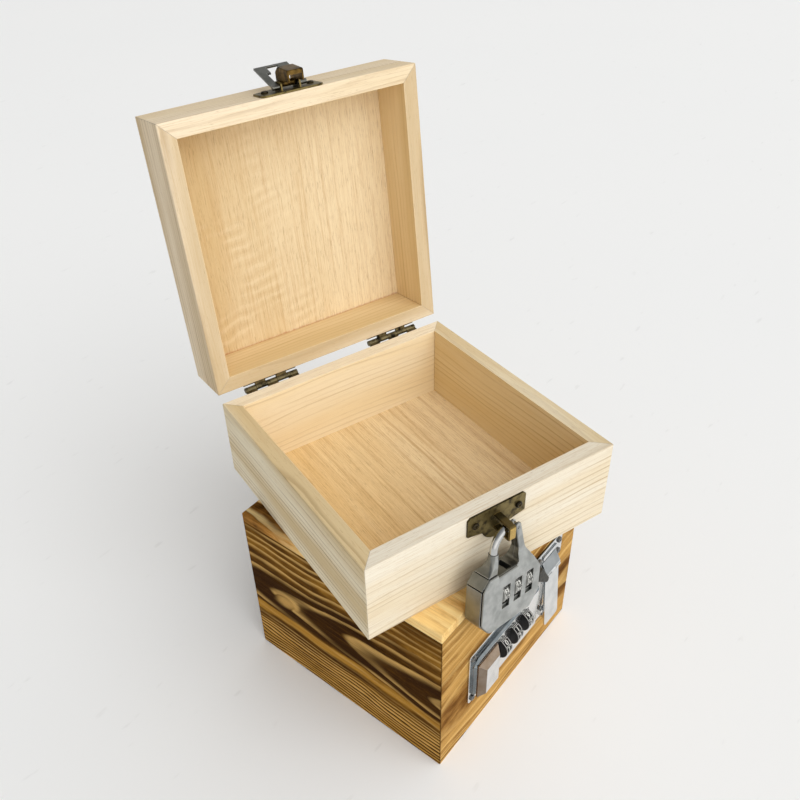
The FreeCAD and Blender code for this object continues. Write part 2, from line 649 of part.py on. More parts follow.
loop = side_profile(front, FITTING_X - loop_half, FITTING_X + loop_half, [
    (FITTING_PLATE / 2, LOOP_Z0 - LOOP_THICK, 0), (loop_out + LOOP_THICK, LOOP_Z0 - LOOP_THICK, 1.6),
    (loop_out + LOOP_THICK, LOOP_Z1 + LOOP_THICK, 1.6), (FITTING_PLATE / 2, LOOP_Z1 + LOOP_THICK, 0)])
loop = eased(loop, METAL_EASE, lambda box: box.XLength < 1e-6)
loop_gap = side_profile(front, FITTING_X - LOOP_WIDE, FITTING_X + LOOP_WIDE, [
    (FITTING_PLATE, LOOP_Z0, 0), (loop_out, LOOP_Z0, 0.5),
    (loop_out, LOOP_Z1, 0.5), (FITTING_PLATE, LOOP_Z1, 0)])
staple_screws = []
staple_holes = []
for shift in (-STAPLE_SCREW, STAPLE_SCREW):
    at = V(FITTING_X + shift, front - FITTING_PLATE, staple_top - STAPLE_SCREW_DROP)
    staple_screws.append(screw(at, V(0, -1, 0)))
    staple_holes.append(screw_hole(at, V(0, -1, 0)))
keep("staple_plate", [fused([staple, loop.cut(loop_gap)]).cut(staple_holes)], STACK)
keep("staple_screws", staple_screws, STACK)

# Clasp plate with its two ears, on the pale lid's front
clasp_low = PALE_BASE + 2 * SEAM_GAP
wing = clasp_low + CLASP_WING
clasp = on_front(front, 0, FITTING_PLATE, [
    (CLASP_X - CLASP_HALF + 1.6, clasp_low, 0.4), (CLASP_X + CLASP_HALF - 1.6, clasp_low, 0.4),
    (CLASP_X + CLASP_HALF, clasp_low + 1.6, 0.4), (CLASP_X + CLASP_HALF, wing, 0.6),
    (CLASP_X + CLASP_LOBE, wing + 1.9, 0.4), (CLASP_X - CLASP_LOBE, wing + 1.9, 0.4),
    (CLASP_X - CLASP_HALF, wing, 0.6), (CLASP_X - CLASP_HALF, clasp_low + 1.6, 0.4)])
lobe_z = clasp_low + CLASP_RISE - CLASP_LOBE
lobe = rod(CLASP_LOBE, V(CLASP_X, front, lobe_z), V(CLASP_X, front - FITTING_PLATE, lobe_z))
clasp = fused([clasp, lobe])
clasp = eased(clasp, METAL_EASE, lambda box: box.YLength < 1e-6 and box.YMax < front - FITTING_PLATE / 2)
ear_reach = max(LEVER_OUT, LINK_OUT) + 1.7
clasp_ears = []
for side in (-1, 1):
    x0, x1 = sorted((CLASP_X + side * CLASP_EAR_IN, CLASP_X + side * (CLASP_EAR_IN + CLASP_EAR)))
    clasp_ears.append(side_profile(front, x0, x1, [
        (FITTING_PLATE / 2, LINK_Z - 2.2, 0), (ear_reach, LINK_Z - 1.8, 1.2),
        (ear_reach, LEVER_Z + 1.8, 1.2), (FITTING_PLATE / 2, LEVER_Z + 2.6, 0)]))
ear_end = CLASP_EAR_IN + CLASP_EAR
lever_bore = front_rod(front, CLASP_PIN + RUN_FIT, CLASP_X - 12, CLASP_X + 12, LEVER_OUT, LEVER_Z)
link_bore = front_rod(front, CLASP_PIN + RUN_FIT, CLASP_X - 12, CLASP_X + 12, LINK_OUT, LINK_Z)
clasp_screws = []
clasp_holes = []
for shift in (-CLASP_SCREW, CLASP_SCREW):
    at = V(CLASP_X + shift, front - FITTING_PLATE, PALE_BASE + CLASP_SCREW_RISE)
    clasp_screws.append(screw(at, V(0, -1, 0)))
    clasp_holes.append(screw_hole(at, V(0, -1, 0)))
clasp = fused([clasp] + clasp_ears).cut([lever_bore, link_bore] + clasp_holes)
keep("clasp_plate", [clasp], LID_SWING, STACK)
keep("clasp_screws", clasp_screws, LID_SWING, STACK)
clasp_pin = front_rod(front, CLASP_PIN, CLASP_X - ear_end, CLASP_X + ear_end, LEVER_OUT, LEVER_Z)
keep("clasp_pin", [clasp_pin], LID_SWING, STACK)

# Clasp lever: an open hood on its rolled barrel, two side walls under a roof with a lip at the near end
lever_ends = CLASP_X - LEVER_HALF, CLASP_X + LEVER_HALF
lever_barrel = front_rod(front, LEVER_BARREL, lever_ends[0], lever_ends[1], LEVER_OUT, LEVER_Z)
near_z = PALE_BASE + LEVER_NEAR
crest = LEVER_CREST
t = LEVER_THICK
hood_side = [
    (LEVER_OUT - 1.5, LEVER_Z + 1.8, 1.5), (LEVER_OUT - 1.5, LEVER_Z - 1.8, 1.0),
    (LEVER_OUT + 1.7, LEVER_Z - 3.2, 0.8), (LEVER_OUT + 1.7, near_z, 0.8), (crest - 1.2, near_z, 0.8),
    (crest, LEVER_Z - 1.5, 2.2), (crest - 2.7, LEVER_Z + 1.8, 1.5)]
hood = side_profile(front, lever_ends[0], lever_ends[1], hood_side)
hood = eased(hood, 0.6, lambda box: box.XLength < 1e-6)
hollow = side_profile(front, lever_ends[0] + t, lever_ends[1] - t, [
    (LEVER_OUT - 4, LEVER_Z + 6, 0), (LEVER_OUT - 4, near_z + t, 0), (LEVER_OUT + 1, near_z + t, 0),
    (LEVER_OUT + 1, near_z - 1, 0), (crest - 3.4, near_z - 1, 0), (crest - 3.4, near_z + t, 0),
    (crest - 1.2 - t, near_z + t, 0.5), (crest - t, LEVER_Z - 1.5, 1.5), (crest - 2.7 - t, LEVER_Z + 6, 0)])
keep("clasp_lever", [fused([hood.cut(hollow), lever_barrel]).cut(lever_bore)], LID_SWING, STACK)

# Clasp link: two legs on stub pins, then a slotted plate that drops over the loop, leaning back at rest
half_slot = LINK_SLOT / 2
leg_in = ear_end + SLIDE_FIT
link_pieces = []
for side in (-1, 1):
    x0, x1 = sorted((CLASP_X + side * leg_in, CLASP_X + side * LINK_HALF))
    link_pieces.append(front_rod(front, LINK_BAR, x0, x1, LINK_OUT, LINK_Z))
    half = LINK_THICK / 2
    link_pieces.append(front_block(
        front, x0, x1, LINK_OUT - half, LINK_OUT + half, LINK_Z, LINK_Z + LINK_LEGS + 1))
    x0, x1 = sorted((CLASP_X + side * half_slot, CLASP_X + side * LINK_HALF))
    link_pieces.append(front_block(
        front, x0, x1, LINK_OUT - half, LINK_OUT + half, LINK_Z + LINK_LEGS, LINK_Z + LINK_LONG))
    x0, x1 = sorted((CLASP_X + side * (CLASP_EAR_IN - SLIDE_FIT), CLASP_X + side * LINK_HALF))
    link_pieces.append(front_rod(front, CLASP_PIN, x0, x1, LINK_OUT, LINK_Z))
link_pieces.append(front_block(
    front, CLASP_X - LINK_HALF, CLASP_X + LINK_HALF, LINK_OUT - half, LINK_OUT + half,
    LINK_Z + LINK_LONG - LINK_BAR, LINK_Z + LINK_LONG))
link = fused(link_pieces)
link_axis = V(0, front - LINK_OUT, LINK_Z)
link_lean = FreeCAD.Placement(V(0, 0, 0), FreeCAD.Rotation(V(1, 0, 0), LINK_LEAN), link_axis)
keep("clasp_link", [link], link_lean, LID_SWING, STACK)

# Pale box with its lid and hinges
pale_walls = mitred_boards(PALE_HALF, PALE_WALL, 0, PALE_BASE, (0, PALE_BASE))
pale_rail_low = PALE_BASE + SEAM_GAP
pale_rails = mitred_boards(PALE_HALF, PALE_WALL, pale_rail_low, PALE_TOP, (pale_rail_low, PALE_TOP))
pale_inner = PALE_HALF - PALE_WALL
pale_hinges = hinge_set((-PALE_HINGE_X, PALE_HINGE_X), PALE_HINGE_LONG, PALE_HALF, PALE_BASE)
keep("pale_front_wall", [pale_walls[0].cut(staple_holes)], STACK)
keep("pale_back_wall", [pale_walls[1].cut(pale_hinges["holes"]["box"])], STACK)
keep("pale_left_wall", [pale_walls[2]], STACK)
keep("pale_right_wall", [pale_walls[3]], STACK)
keep("pale_floor", [block(-pale_inner, pale_inner, -pale_inner, pale_inner, 0, PALE_FLOOR)], STACK)
keep("pale_hinge_box_leaves", pale_hinges["box_leaves"], STACK)
keep("pale_hinge_pins", pale_hinges["pins"], STACK)
keep("pale_hinge_box_screws", pale_hinges["box_screws"], STACK)
keep("pale_lid_front_rail", [pale_rails[0].cut(clasp_holes)], LID_SWING, STACK)
keep("pale_lid_back_rail", [pale_rails[1].cut(pale_hinges["holes"]["lid"])], LID_SWING, STACK)
keep("pale_lid_left_rail", [pale_rails[2]], LID_SWING, STACK)
keep("pale_lid_right_rail", [pale_rails[3]], LID_SWING, STACK)
pale_panel = block(-pale_inner, pale_inner, -pale_inner, pale_inner, PALE_TOP - PALE_PANEL, PALE_TOP)
keep("pale_lid_panel", [pale_panel], LID_SWING, STACK)
keep("pale_hinge_lid_leaves", pale_hinges["lid_leaves"], LID_SWING, STACK)
keep("pale_hinge_lid_screws", pale_hinges["lid_screws"], LID_SWING, STACK)


def lock_prism(corners, y0, y1):
    """Rounded outline in the padlock's x and z, between two depths."""
    return rounded(corners, lambda p: V(p.x, y0, p.y), V(0, y1 - y0, 0))


def arch(radius, start, end):
    """Round bar bent along the bow's arch between two angles in degrees."""
    turn = math.radians(start)
    middle = V(BOW_X, 0, BOW_CENTRE_Z)
    at = middle + V(math.cos(turn), 0, math.sin(turn)) * BOW_R
    ring = Part.makeCircle(radius, at, V(-math.sin(turn), 0, math.cos(turn)))
    return Part.Face(Part.Wire(ring)).revolve(middle, V(0, -1, 0), end - start)


def ring_wire(x0, x1, deep, z, bend):
    """Level rounded rectangle in the padlock's x and y."""
    corners = [(x0, -deep), (x1, -deep), (x1, deep), (x0, deep)]
    edges = []
    tip = bend * (1 - math.sqrt(0.5))
    for index, (x, y) in enumerate(corners):
        ahead = corners[(index + 1) % 4]
        before = corners[index - 1]
        to_ahead = V(ahead[0] - x, ahead[1] - y, 0)
        to_before = V(before[0] - x, before[1] - y, 0)
        side = to_ahead.Length
        to_ahead.normalize()
        to_before.normalize()
        here = V(x, y, z)
        arc = Part.Arc(here + to_before * bend, here + (to_ahead + to_before) * tip, here + to_ahead * bend)
        edges.append(arc.toShape())
        edges.append(Part.makeLine(here + to_ahead * bend, here + to_ahead * (side - bend)))
    return Part.Wire(edges)


# Padlock bow with its flat tongue, and the foot of its left leg
pivot = V(PIVOT_X, 0, PIVOT_Z)
left_x = BOW_X - BOW_R
clear_angle = math.degrees((NECK_TUBE + CURVE_GAP) / BOW_R)
bow_start = NECK_ANGLE + clear_angle
ring_z = BOW_CENTRE_Z - BOW_RING
tube = arch(BOW_TUBE, bow_start, 180)
leg = rod(BOW_TUBE, V(left_x, 0, BOW_CENTRE_Z), V(left_x, 0, ring_z))
tenon = rod(BOW_TENON, V(left_x, 0, BOW_CENTRE_Z), V(left_x, 0, ring_z - BOW_TENON_LONG))
half = TONGUE / 2
eye = rod(BOW_TUBE, V(PIVOT_X, -half, PIVOT_Z), V(PIVOT_X, half, PIVOT_Z))
tang = []
for radius, angle in ((1.9, 0), (-1.9, 0), (-1.9, 1), (1.9, 1)):
    turn = math.radians(NECK_ANGLE + angle * (clear_angle + 4))
    reach = BOW_R + radius
    tang.append(V(BOW_X + reach * math.cos(turn), -half, BOW_CENTRE_Z + reach * math.sin(turn)))
tang_plate = prism(tang, V(0, TONGUE, 0))
lock_bore = rod(LOCK_PIN + RUN_FIT, V(PIVOT_X, -9, PIVOT_Z), V(PIVOT_X, 9, PIVOT_Z))
keep("padlock_bow", [fused([tube, leg, tenon, eye, tang_plate]).cut(lock_bore)], LOCK, STACK)
foot_low = CASE_SEAT + FOOT_GAP
foot_mid = foot_low + (ring_z - foot_low) * 0.4
sections = []
for x0, x1, deep, z, bend in (
        (left_x - NECK_TUBE, left_x + NECK_TUBE, NECK_TUBE, ring_z, NECK_TUBE - 0.05),
        (left_x - NECK_TUBE - 1.1, left_x + NECK_TUBE - 0.3, NECK_TUBE + 0.3, foot_mid, 1.6),
        (FOOT_LEFT, FOOT_RIGHT, FOOT_HALF, foot_low, 0.5)):
    sections.append(ring_wire(x0, x1, deep, z, bend))
foot = Part.makeLoft(sections, True, False)
socket = rod(BOW_TENON + SCREW_FIT, V(left_x, 0, ring_z + 1), V(left_x, 0, ring_z - BOW_TENON_LONG - 0.1))
keep("padlock_left_foot", [foot.cut(socket)], LOCK, STACK)

# Padlock case: a rounded body running up into a leaning right arm, split into a front and a back shell
body = lock_prism([
    (10.4, -13.0, 0), (10.8, -15.0, 2.0), (14.6, -20.4, 6.0), (CASE_RIGHT, -30.0, 3.0),
    (CASE_RIGHT, CASE_BOTTOM + 7.5, 3.0), (CASE_RIGHT - 6.5, CASE_BOTTOM, 4.0),
    (CASE_LEFT + 6.5, CASE_BOTTOM, 5.0), (CASE_LEFT, CASE_BOTTOM + 8.0, 4.0), (CASE_LEFT, CASE_SHOULDER, 2.0),
    (FOOT_LEFT + 0.1, CASE_SEAT, 0.4), (FOOT_RIGHT, CASE_SEAT, 0.4), (FOOT_RIGHT + 0.6, CASE_LEDGE, 0.4),
    (5.0, CASE_LEDGE, 2.6), (6.4, -13.0, 0)],
    -CASE_HALF, CASE_HALF)
body = eased(body, CASE_EASE, lambda box: box.YLength < 1e-6)
shoulder_cut = []
for side in (-1, 1):
    thin = side * (NECK_TUBE - 0.3)
    full = side * CASE_HALF
    past = side * (CASE_HALF + 3)
    flare = [(full, -12.0), (past, -12.0), (past, -27.0), (full, -24.0), (thin * 1.3, -17.0), (thin, -12.0)]
    shoulder_cut.append(prism([V(3.0, y, z) for y, z in flare], V(CASE_RIGHT, 0, 0)))
body = body.cut(shoulder_cut)
arm = lock_prism([
    (PIVOT_X - 2.3, PIVOT_Z + 2.3, 2.0), (PIVOT_X + 2.0, PIVOT_Z + 2.5, 2.0), (12.2, -18.0, 1.2),
    (7.2, -18.0, 1.2)], -NECK_TUBE, NECK_TUBE)
arm = eased(arm, 0.8, lambda box: box.YLength < 1e-6)
fork_half = half + SIDE_FIT
fork_low = PIVOT_Z - NECK_TUBE - 0.6
fork = block(PIVOT_X - 9, PIVOT_X + NECK_TUBE + 0.6, -fork_half, fork_half, fork_low, PIVOT_Z + 9)
whole = fused([body, arm]).cut([fork, lock_bore])
room_low = WHEEL_CENTRES[0] - WHEEL_WIDE / 2 - 2 * SIDE_FIT
room_high = WHEEL_CENTRES[2] + WHEEL_WIDE / 2 + 2 * SIDE_FIT
room = WHEEL_R + CURVE_GAP
cavity = block(room_low, room_high, CASE_SPLIT, WHEEL_Y + room, WHEEL_Z - room, WHEEL_Z + room)
openings = [cavity]
for x in WHEEL_CENTRES:
    middle = x + WINDOW_SHIFT
    openings.append(block(
        middle - WINDOW_WIDE / 2, middle + WINDOW_WIDE / 2, -CASE_HALF - 1, CASE_SPLIT,
        WHEEL_Z - WINDOW_TALL / 2, WHEEL_Z + WINDOW_TALL / 2))
axle_from = V(room_low - 2, WHEEL_Y, WHEEL_Z)
axle_to = V(room_high + 2, WHEEL_Y, WHEEL_Z)
openings.append(rod(WHEEL_AXLE + SCREW_FIT, axle_from - V(0.05, 0, 0), axle_to + V(0.05, 0, 0)))
openings.append(block(-3.4, 0.4, -3.2, 3.8, CASE_LEDGE - 5, CASE_LEDGE + 1))
groove_x = CASE_LEFT + CASE_GROOVE_DEEP
groove_y = CASE_SPLIT - CASE_GROOVE
shoulder_low = CASE_SHOULDER - CASE_GROOVE
openings.append(block(CASE_LEFT - 9, groove_x, groove_y, CASE_SPLIT, CASE_BOTTOM, CASE_SEAT + 1))
openings.append(block(CASE_LEFT - 9, groove_x, groove_y, CASE_HALF + 1, shoulder_low, CASE_SHOULDER))
knob_mid = KNOB_TOP - 3.9
stem_top = knob_mid + KNOB_STEM / 2
stem_low = knob_mid - KNOB_STEM / 2
openings.append(block(
    CASE_RIGHT - 2.6, CASE_RIGHT + 1, KNOB_Y - 1.0 - SLIDE_FIT, KNOB_Y + 1.0 + SLIDE_FIT,
    stem_low - KNOB_TRAVEL - SLIDE_FIT, stem_top + SLIDE_FIT))
whole = whole.cut(openings)
front_half = fused([
    block(-40, 40, -20, CASE_SPLIT, -80, 20),
    block(5.2, 40, -20, 0, -23.0, -13.0),
    block(PIVOT_X - 12, 40, -20, 0, -13.0, 20),
])
keep("padlock_front_shell", [whole.common(front_half)], LOCK, STACK)
keep("padlock_back_shell", [whole.cut(front_half)], LOCK, STACK)
keep("padlock_axle", [rod(WHEEL_AXLE, axle_from, axle_to)], LOCK, STACK)
pin_half = NECK_TUBE - 0.2
keep("padlock_arm_pin", [rod(LOCK_PIN, pivot - V(0, pin_half, 0), pivot + V(0, pin_half, 0))], LOCK, STACK)

# Padlock dials
for number, x in enumerate(WHEEL_CENTRES, 1):
    ends = V(x - WHEEL_WIDE / 2, WHEEL_Y, WHEEL_Z), V(x + WHEEL_WIDE / 2, WHEEL_Y, WHEEL_Z)
    wheel = rod(WHEEL_R, *ends)
    wheel = wheel.makeFillet(0.25, [edge for edge in wheel.Edges if edge.BoundBox.XLength < 1e-6])
    spare = V(1, 0, 0)
    notches = [rod(WHEEL_AXLE + RUN_FIT, ends[0] - spare, ends[1] + spare)]
    for index in range(DIAL_NOTCHES):
        angle = 2 * math.pi * (index + 0.5) / DIAL_NOTCHES
        shift = V(0, -(WHEEL_R + 0.1) * math.cos(angle), (WHEEL_R + 0.1) * math.sin(angle))
        notches.append(rod(0.35, ends[0] + shift - spare, ends[1] + shift + spare))
    keep("padlock_dial_%d" % number, [wheel.cut(notches)], LOCK, STACK)

# Padlock knob on its sliding stem
knob = lock_prism([
    (CASE_RIGHT + SLIDE_FIT, KNOB_TOP - 0.8, 0.6), (CASE_RIGHT + KNOB_OUT * 0.35, KNOB_TOP, 1.5),
    (CASE_RIGHT + KNOB_OUT, KNOB_TOP - 8.4, 1.6), (CASE_RIGHT + KNOB_OUT - 0.6, KNOB_BOTTOM, 1.6),
    (CASE_RIGHT + SLIDE_FIT, KNOB_TOP - 6.8, 0.6)], KNOB_Y - KNOB_HALF, KNOB_Y + KNOB_HALF)
knob = eased(knob, 0.6, lambda box: box.YLength < 1e-6)
knob_stem = block(CASE_RIGHT - 2.4, CASE_RIGHT + 2, KNOB_Y - 1.0, KNOB_Y + 1.0, stem_low, stem_top)
keep("padlock_knob", [fused([knob, knob_stem])], LOCK, STACK)

os.makedirs("parts", exist_ok=True)
for name, shapes in nodes.items():
    solids = []
    for shape in shapes:
        solids.extend(shape.Solids)
    Part.makeCompound(solids).exportStep("parts/%s.step" % name)
print(len(nodes), "nodes")
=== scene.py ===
"""Looks of a pair of stacked wooden lock boxes: timber, fittings, dial numbers, studio and camera."""

import logging
import math
from dataclasses import dataclass
from enum import Enum

import bpy
from mathutils import Matrix, Vector


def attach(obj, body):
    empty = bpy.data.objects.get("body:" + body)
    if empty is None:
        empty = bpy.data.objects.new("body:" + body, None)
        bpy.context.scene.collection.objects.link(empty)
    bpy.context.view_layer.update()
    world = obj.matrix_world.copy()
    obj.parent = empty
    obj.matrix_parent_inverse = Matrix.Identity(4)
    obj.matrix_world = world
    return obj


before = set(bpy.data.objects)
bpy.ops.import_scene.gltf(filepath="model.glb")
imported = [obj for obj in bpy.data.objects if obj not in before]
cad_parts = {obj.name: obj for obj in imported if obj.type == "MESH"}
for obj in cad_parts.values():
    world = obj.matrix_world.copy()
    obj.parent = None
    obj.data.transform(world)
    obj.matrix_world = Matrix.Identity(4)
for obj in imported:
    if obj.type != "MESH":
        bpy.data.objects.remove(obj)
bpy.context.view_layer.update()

LOG = logging.getLogger("lock_boxes")
MM = 0.001
PER_METRE = 1000.0
DIGITS = 10

Colour = tuple[float, float, float, float]
Triple = tuple[float, float, float]


def paint(red: int, green: int, blue: int) -> Colour:
    """Turn a colour as the eye sees it on a screen into light amounts.

    Args:
        red: Red part, 0 to 255.
        green: Green part, 0 to 255.
        blue: Blue part, 0 to 255.

    Returns:
        The linear colour with full opacity.
    """
    parts = []
    for part in (red, green, blue):
        share = part / 255
        parts.append(share / 12.92 if share <= 0.04045 else ((share + 0.055) / 1.055) ** 2.4)
    return (parts[0], parts[1], parts[2], 1.0)


def spin(degrees: float, axis: str) -> Matrix:
    """Turn about one axis, in degrees."""
    return Matrix.Rotation(math.radians(degrees), 4, axis)


def shift(x: float, y: float, z: float) -> Matrix:
    """Move given in millimetres."""
    return Matrix.Translation((x * MM, y * MM, z * MM))


@dataclass(frozen=True)
class Layout:
    """How the sub-assemblies stand on each other at rest, in millimetres and degrees."""

    pale_at: Triple = (3.06, 5.07, 113.0)
    pale_turn: float = -18.3
    lid_axis: Triple = (0.0, 78.2, 48.5)
    lid_open: float = 97.0
    lock_at: Triple = (0.5, -83.0, 39.5)
    lock_turn: float = 10.0
    lock_roll: float = 9.21
    lock_tilt: float = -6.65


LAYOUT = Layout()


class Stand(Enum):
    """Where each sub-assembly stands at rest."""

    DARK_BOX = "dark_box"
    PALE_BOX = "pale_box"
    PALE_LID = "pale_lid"
    PADLOCK = "padlock"

    def matrix(self) -> Matrix:
        """Place and turn of the sub-assembly's own axes.

        Returns:
            The matrix from the sub-assembly's axes to the object's axes, in metres.
        """
        pale = shift(*LAYOUT.pale_at) @ spin(LAYOUT.pale_turn, "Z")
        if self is Stand.DARK_BOX:
            return Matrix.Identity(4)
        if self is Stand.PALE_BOX:
            return pale
        if self is Stand.PALE_LID:
            axis = shift(*LAYOUT.lid_axis)
            return pale @ axis @ spin(-LAYOUT.lid_open, "X") @ axis.inverted()
        hang = spin(LAYOUT.lock_turn, "Z") @ spin(LAYOUT.lock_roll, "Y") @ spin(LAYOUT.lock_tilt, "X")
        return pale @ shift(*LAYOUT.lock_at) @ hang


class Side(Enum):
    """The way a board's show face looks, in its sub-assembly's axes."""

    FRONT = (0.0, -1.0, 0.0)
    BACK = (0.0, 1.0, 0.0)
    LEFT = (-1.0, 0.0, 0.0)
    RIGHT = (1.0, 0.0, 0.0)
    UNDER = (0.0, 0.0, -1.0)
    TOP = (0.0, 0.0, 1.0)


WALLS = (("front", Side.FRONT), ("back", Side.BACK), ("left", Side.LEFT), ("right", Side.RIGHT))


@dataclass(frozen=True)
class Board:
    """One board: its CAD node, where it stands, its show face and which stretch of timber it was cut from."""

    node: str
    stand: Stand
    side: Side
    cut: float = 0.0

    def turn(self) -> Matrix:
        """Work out the board's own axes.

        Returns:
            A matrix whose rows are the grain, across and face directions.
        """
        axes = self.stand.matrix().to_3x3()
        face = axes @ Vector(self.side.value)
        if self.side in (Side.TOP, Side.UNDER):
            grain = axes @ Vector((0.0, 1.0, 0.0))
        else:
            grain = (axes @ Vector((0.0, 0.0, 1.0))).cross(face)
        return Matrix((grain, face.cross(grain), face))


class Level:
    """A socket of a material that ordinary arithmetic can be written with."""

    def __init__(self, sheet: "Sheet", socket: bpy.types.NodeSocket) -> None:
        """Hold the socket and the sheet that it belongs to."""
        self.sheet = sheet
        self.socket = socket

    def math(self, operation: str, *others: "Level | float") -> "Level":
        """Add a Math node with this level first.

        Args:
            operation: Name of the operation.
            others: The remaining values.

        Returns:
            The result.
        """
        return self.sheet.node("ShaderNodeMath", {"operation": operation}, dict(enumerate((self, *others))))

    def __add__(self, other: "Level | float") -> "Level":
        """Sum."""
        return self.math("ADD", other)

    def __radd__(self, other: float) -> "Level":
        """Sum with a number in front."""
        return self.math("ADD", other)

    def __sub__(self, other: "Level | float") -> "Level":
        """Difference."""
        return self.math("SUBTRACT", other)

    def __rsub__(self, other: float) -> "Level":
        """Difference from a number."""
        return self.sheet.node("ShaderNodeMath", {"operation": "SUBTRACT"}, {0: other, 1: self})

    def __mul__(self, other: "Level | float") -> "Level":
        """Product."""
        return self.math("MULTIPLY", other)

    def __truediv__(self, other: "Level | float") -> "Level":
        """Quotient."""
        return self.math("DIVIDE", other)

    def __abs__(self) -> "Level":
        """Size without sign."""
        return self.math("ABSOLUTE")

    def fraction(self) -> "Level":
        """What is left after the whole part."""
        return self.math("FRACT")

    def chance(self) -> "Level":
        """A fixed random share for each whole part."""
        whole = self.math("FLOOR")
        return self.sheet.node("ShaderNodeTexWhiteNoise", {"noise_dimensions": "1D"}, {"W": whole})

    def rise(self, low: float, high: float) -> "Level":
        """Smooth step.

        Args:
            low: Value at which the step starts.
            high: Value at which it is full.

        Returns:
            A level from 0 to 1.
        """
        sockets = {"Value": self, "From Min": low, "From Max": high}
        return self.sheet.node("ShaderNodeMapRange", {"interpolation_type": "SMOOTHSTEP"}, sockets)


class Sheet:
    """The nodes of one material or of the world."""

    def __init__(self, tree: bpy.types.NodeTree) -> None:
        """Start from an empty tree."""
        self.tree = tree
        tree.nodes.clear()

    @classmethod
    def named(cls, name: str) -> "tuple[bpy.types.Material, Sheet]":
        """Start a material.

        Args:
            name: The material's name.

        Returns:
            The material and its sheet.
        """
        material = bpy.data.materials.new(name)
        material.use_nodes = True
        return material, cls(material.node_tree)

    def node(
        self, kind: str, settings: dict[str, object] | None = None,
        sockets: dict[int | str, object] | None = None, out: int | str = 0,
    ) -> Level:
        """Add one node.

        Args:
            kind: The node's type.
            settings: Its settings, and a ramp's stops as place and colour pairs.
            sockets: Values or links of its sockets, by name or number.
            out: Which output to hand on.

        Returns:
            The chosen output.
        """
        made = self.tree.nodes.new(kind)
        for key, value in (settings or {}).items():
            if key != "stops":
                setattr(made, key, value)
                continue
            for index, (place, colour) in enumerate(value):
                spots = made.color_ramp.elements
                spot = spots[index] if index < 2 else spots.new(place)
                spot.position = place
                spot.color = colour
        for key, value in (sockets or {}).items():
            if isinstance(value, Level):
                self.tree.links.new(value.socket, made.inputs[key])
            else:
                made.inputs[key].default_value = value
        return Level(self, made.outputs[out] if made.outputs else None)

    def object_place(self) -> Level:
        """The point on the piece, in metres."""
        return self.node("ShaderNodeTexCoord", out="Object")

    def metal_place(self) -> Level:
        """The point on the piece, in millimetres."""
        return self.stretched(self.object_place(), (PER_METRE, PER_METRE, PER_METRE))

    def board_place(self, board: Board) -> Level:
        """The point in a board's own axes.

        Args:
            board: The board.

        Returns:
            Grain, across and face coordinates in millimetres.
        """
        turn = board.turn()
        start = turn @ board.stand.matrix().translation * PER_METRE
        sockets = {
            "Vector": self.object_place(),
            "Location": Vector((board.cut, 0.0, 0.0)) - start,
            "Rotation": turn.to_euler("XYZ"),
            "Scale": (PER_METRE, PER_METRE, PER_METRE),
        }
        return self.node("ShaderNodeMapping", {"vector_type": "POINT"}, sockets)

    def stretched(self, place: Level, factors: Triple) -> Level:
        """Scale a point along each axis."""
        return self.node("ShaderNodeVectorMath", {"operation": "MULTIPLY"}, {0: place, 1: factors})

    def toward(self, place: Level, way: Triple) -> Level:
        """How far a point or direction goes one way."""
        sockets = {0: place, 1: Vector(way).normalized()}
        return self.node("ShaderNodeVectorMath", {"operation": "DOT_PRODUCT"}, sockets, "Value")

    def slanted(self, front: Triple) -> Level:
        """Find the faces of a piece that look away from its front.

        Args:
            front: The way the front looks.

        Returns:
            A level that is 0 on the front and 1 on bevels and sides.
        """
        skin = self.node("ShaderNodeTexCoord", out="Normal")
        return 1 - self.toward(skin, front).rise(0.84, 0.97)

    def split(self, place: Level) -> tuple[Level, Level, Level]:
        """Take a point apart into its three numbers.

        Args:
            place: The point.

        Returns:
            The three numbers.
        """
        first = self.node("ShaderNodeSeparateXYZ", None, {0: place}, "X")
        outputs = first.socket.node.outputs
        return first, Level(self, outputs["Y"]), Level(self, outputs["Z"])

    def noise(self, place: Level, rates: Triple, detail: float = 2.0, rough: float = 0.5) -> Level:
        """Cloudy variation.

        Args:
            place: The point.
            rates: How fast it varies along each axis, per unit of the point.
            detail: How many finer layers it has.
            rough: How strong those are.

        Returns:
            A level about one half.
        """
        sockets = {"Vector": self.stretched(place, rates), "Scale": 1.0, "Detail": detail, "Roughness": rough}
        return self.node("ShaderNodeTexNoise", None, sockets)

    def grain(
        self, place: Level, along: float, across: float, detail: float = 2.0, rough: float = 0.5,
    ) -> Level:
        """Cloudy variation with one rate along the grain and one across it, in a board's own axes."""
        return self.noise(place, (along, across, across), detail, rough)

    def cloud(self, place: Level, rate: float, detail: float = 4.0, rough: float = 0.6) -> Level:
        """Cloudy variation with the same rate each way."""
        return self.noise(place, (rate, rate, rate), detail, rough)

    def mix(
        self, share: Level | float, first: Level | Colour, second: Level | Colour, blend: str = "MIX",
    ) -> Level:
        """Blend two colours.

        Args:
            share: How much of the second shows.
            first: The colour at 0.
            second: The colour at 1.
            blend: How they are blended.

        Returns:
            The blended colour.
        """
        settings = {"data_type": "RGBA", "blend_type": blend}
        return self.node("ShaderNodeMix", settings, {0: share, 6: first, 7: second}, 2)

    def edge(self, radius: float, low: float, high: float) -> Level:
        """Find the edges of a piece.

        Args:
            radius: How far from the edge it reaches, in millimetres.
            low: Turn of the surface at which it starts.
            high: Turn at which it is full.

        Returns:
            A level that is 1 on edges.
        """
        true = self.node("ShaderNodeNewGeometry", out="Normal")
        sockets = {0: self.rounded(radius), 1: true}
        same = self.node("ShaderNodeVectorMath", {"operation": "DOT_PRODUCT"}, sockets, "Value")
        return (1 - same).rise(low, high)

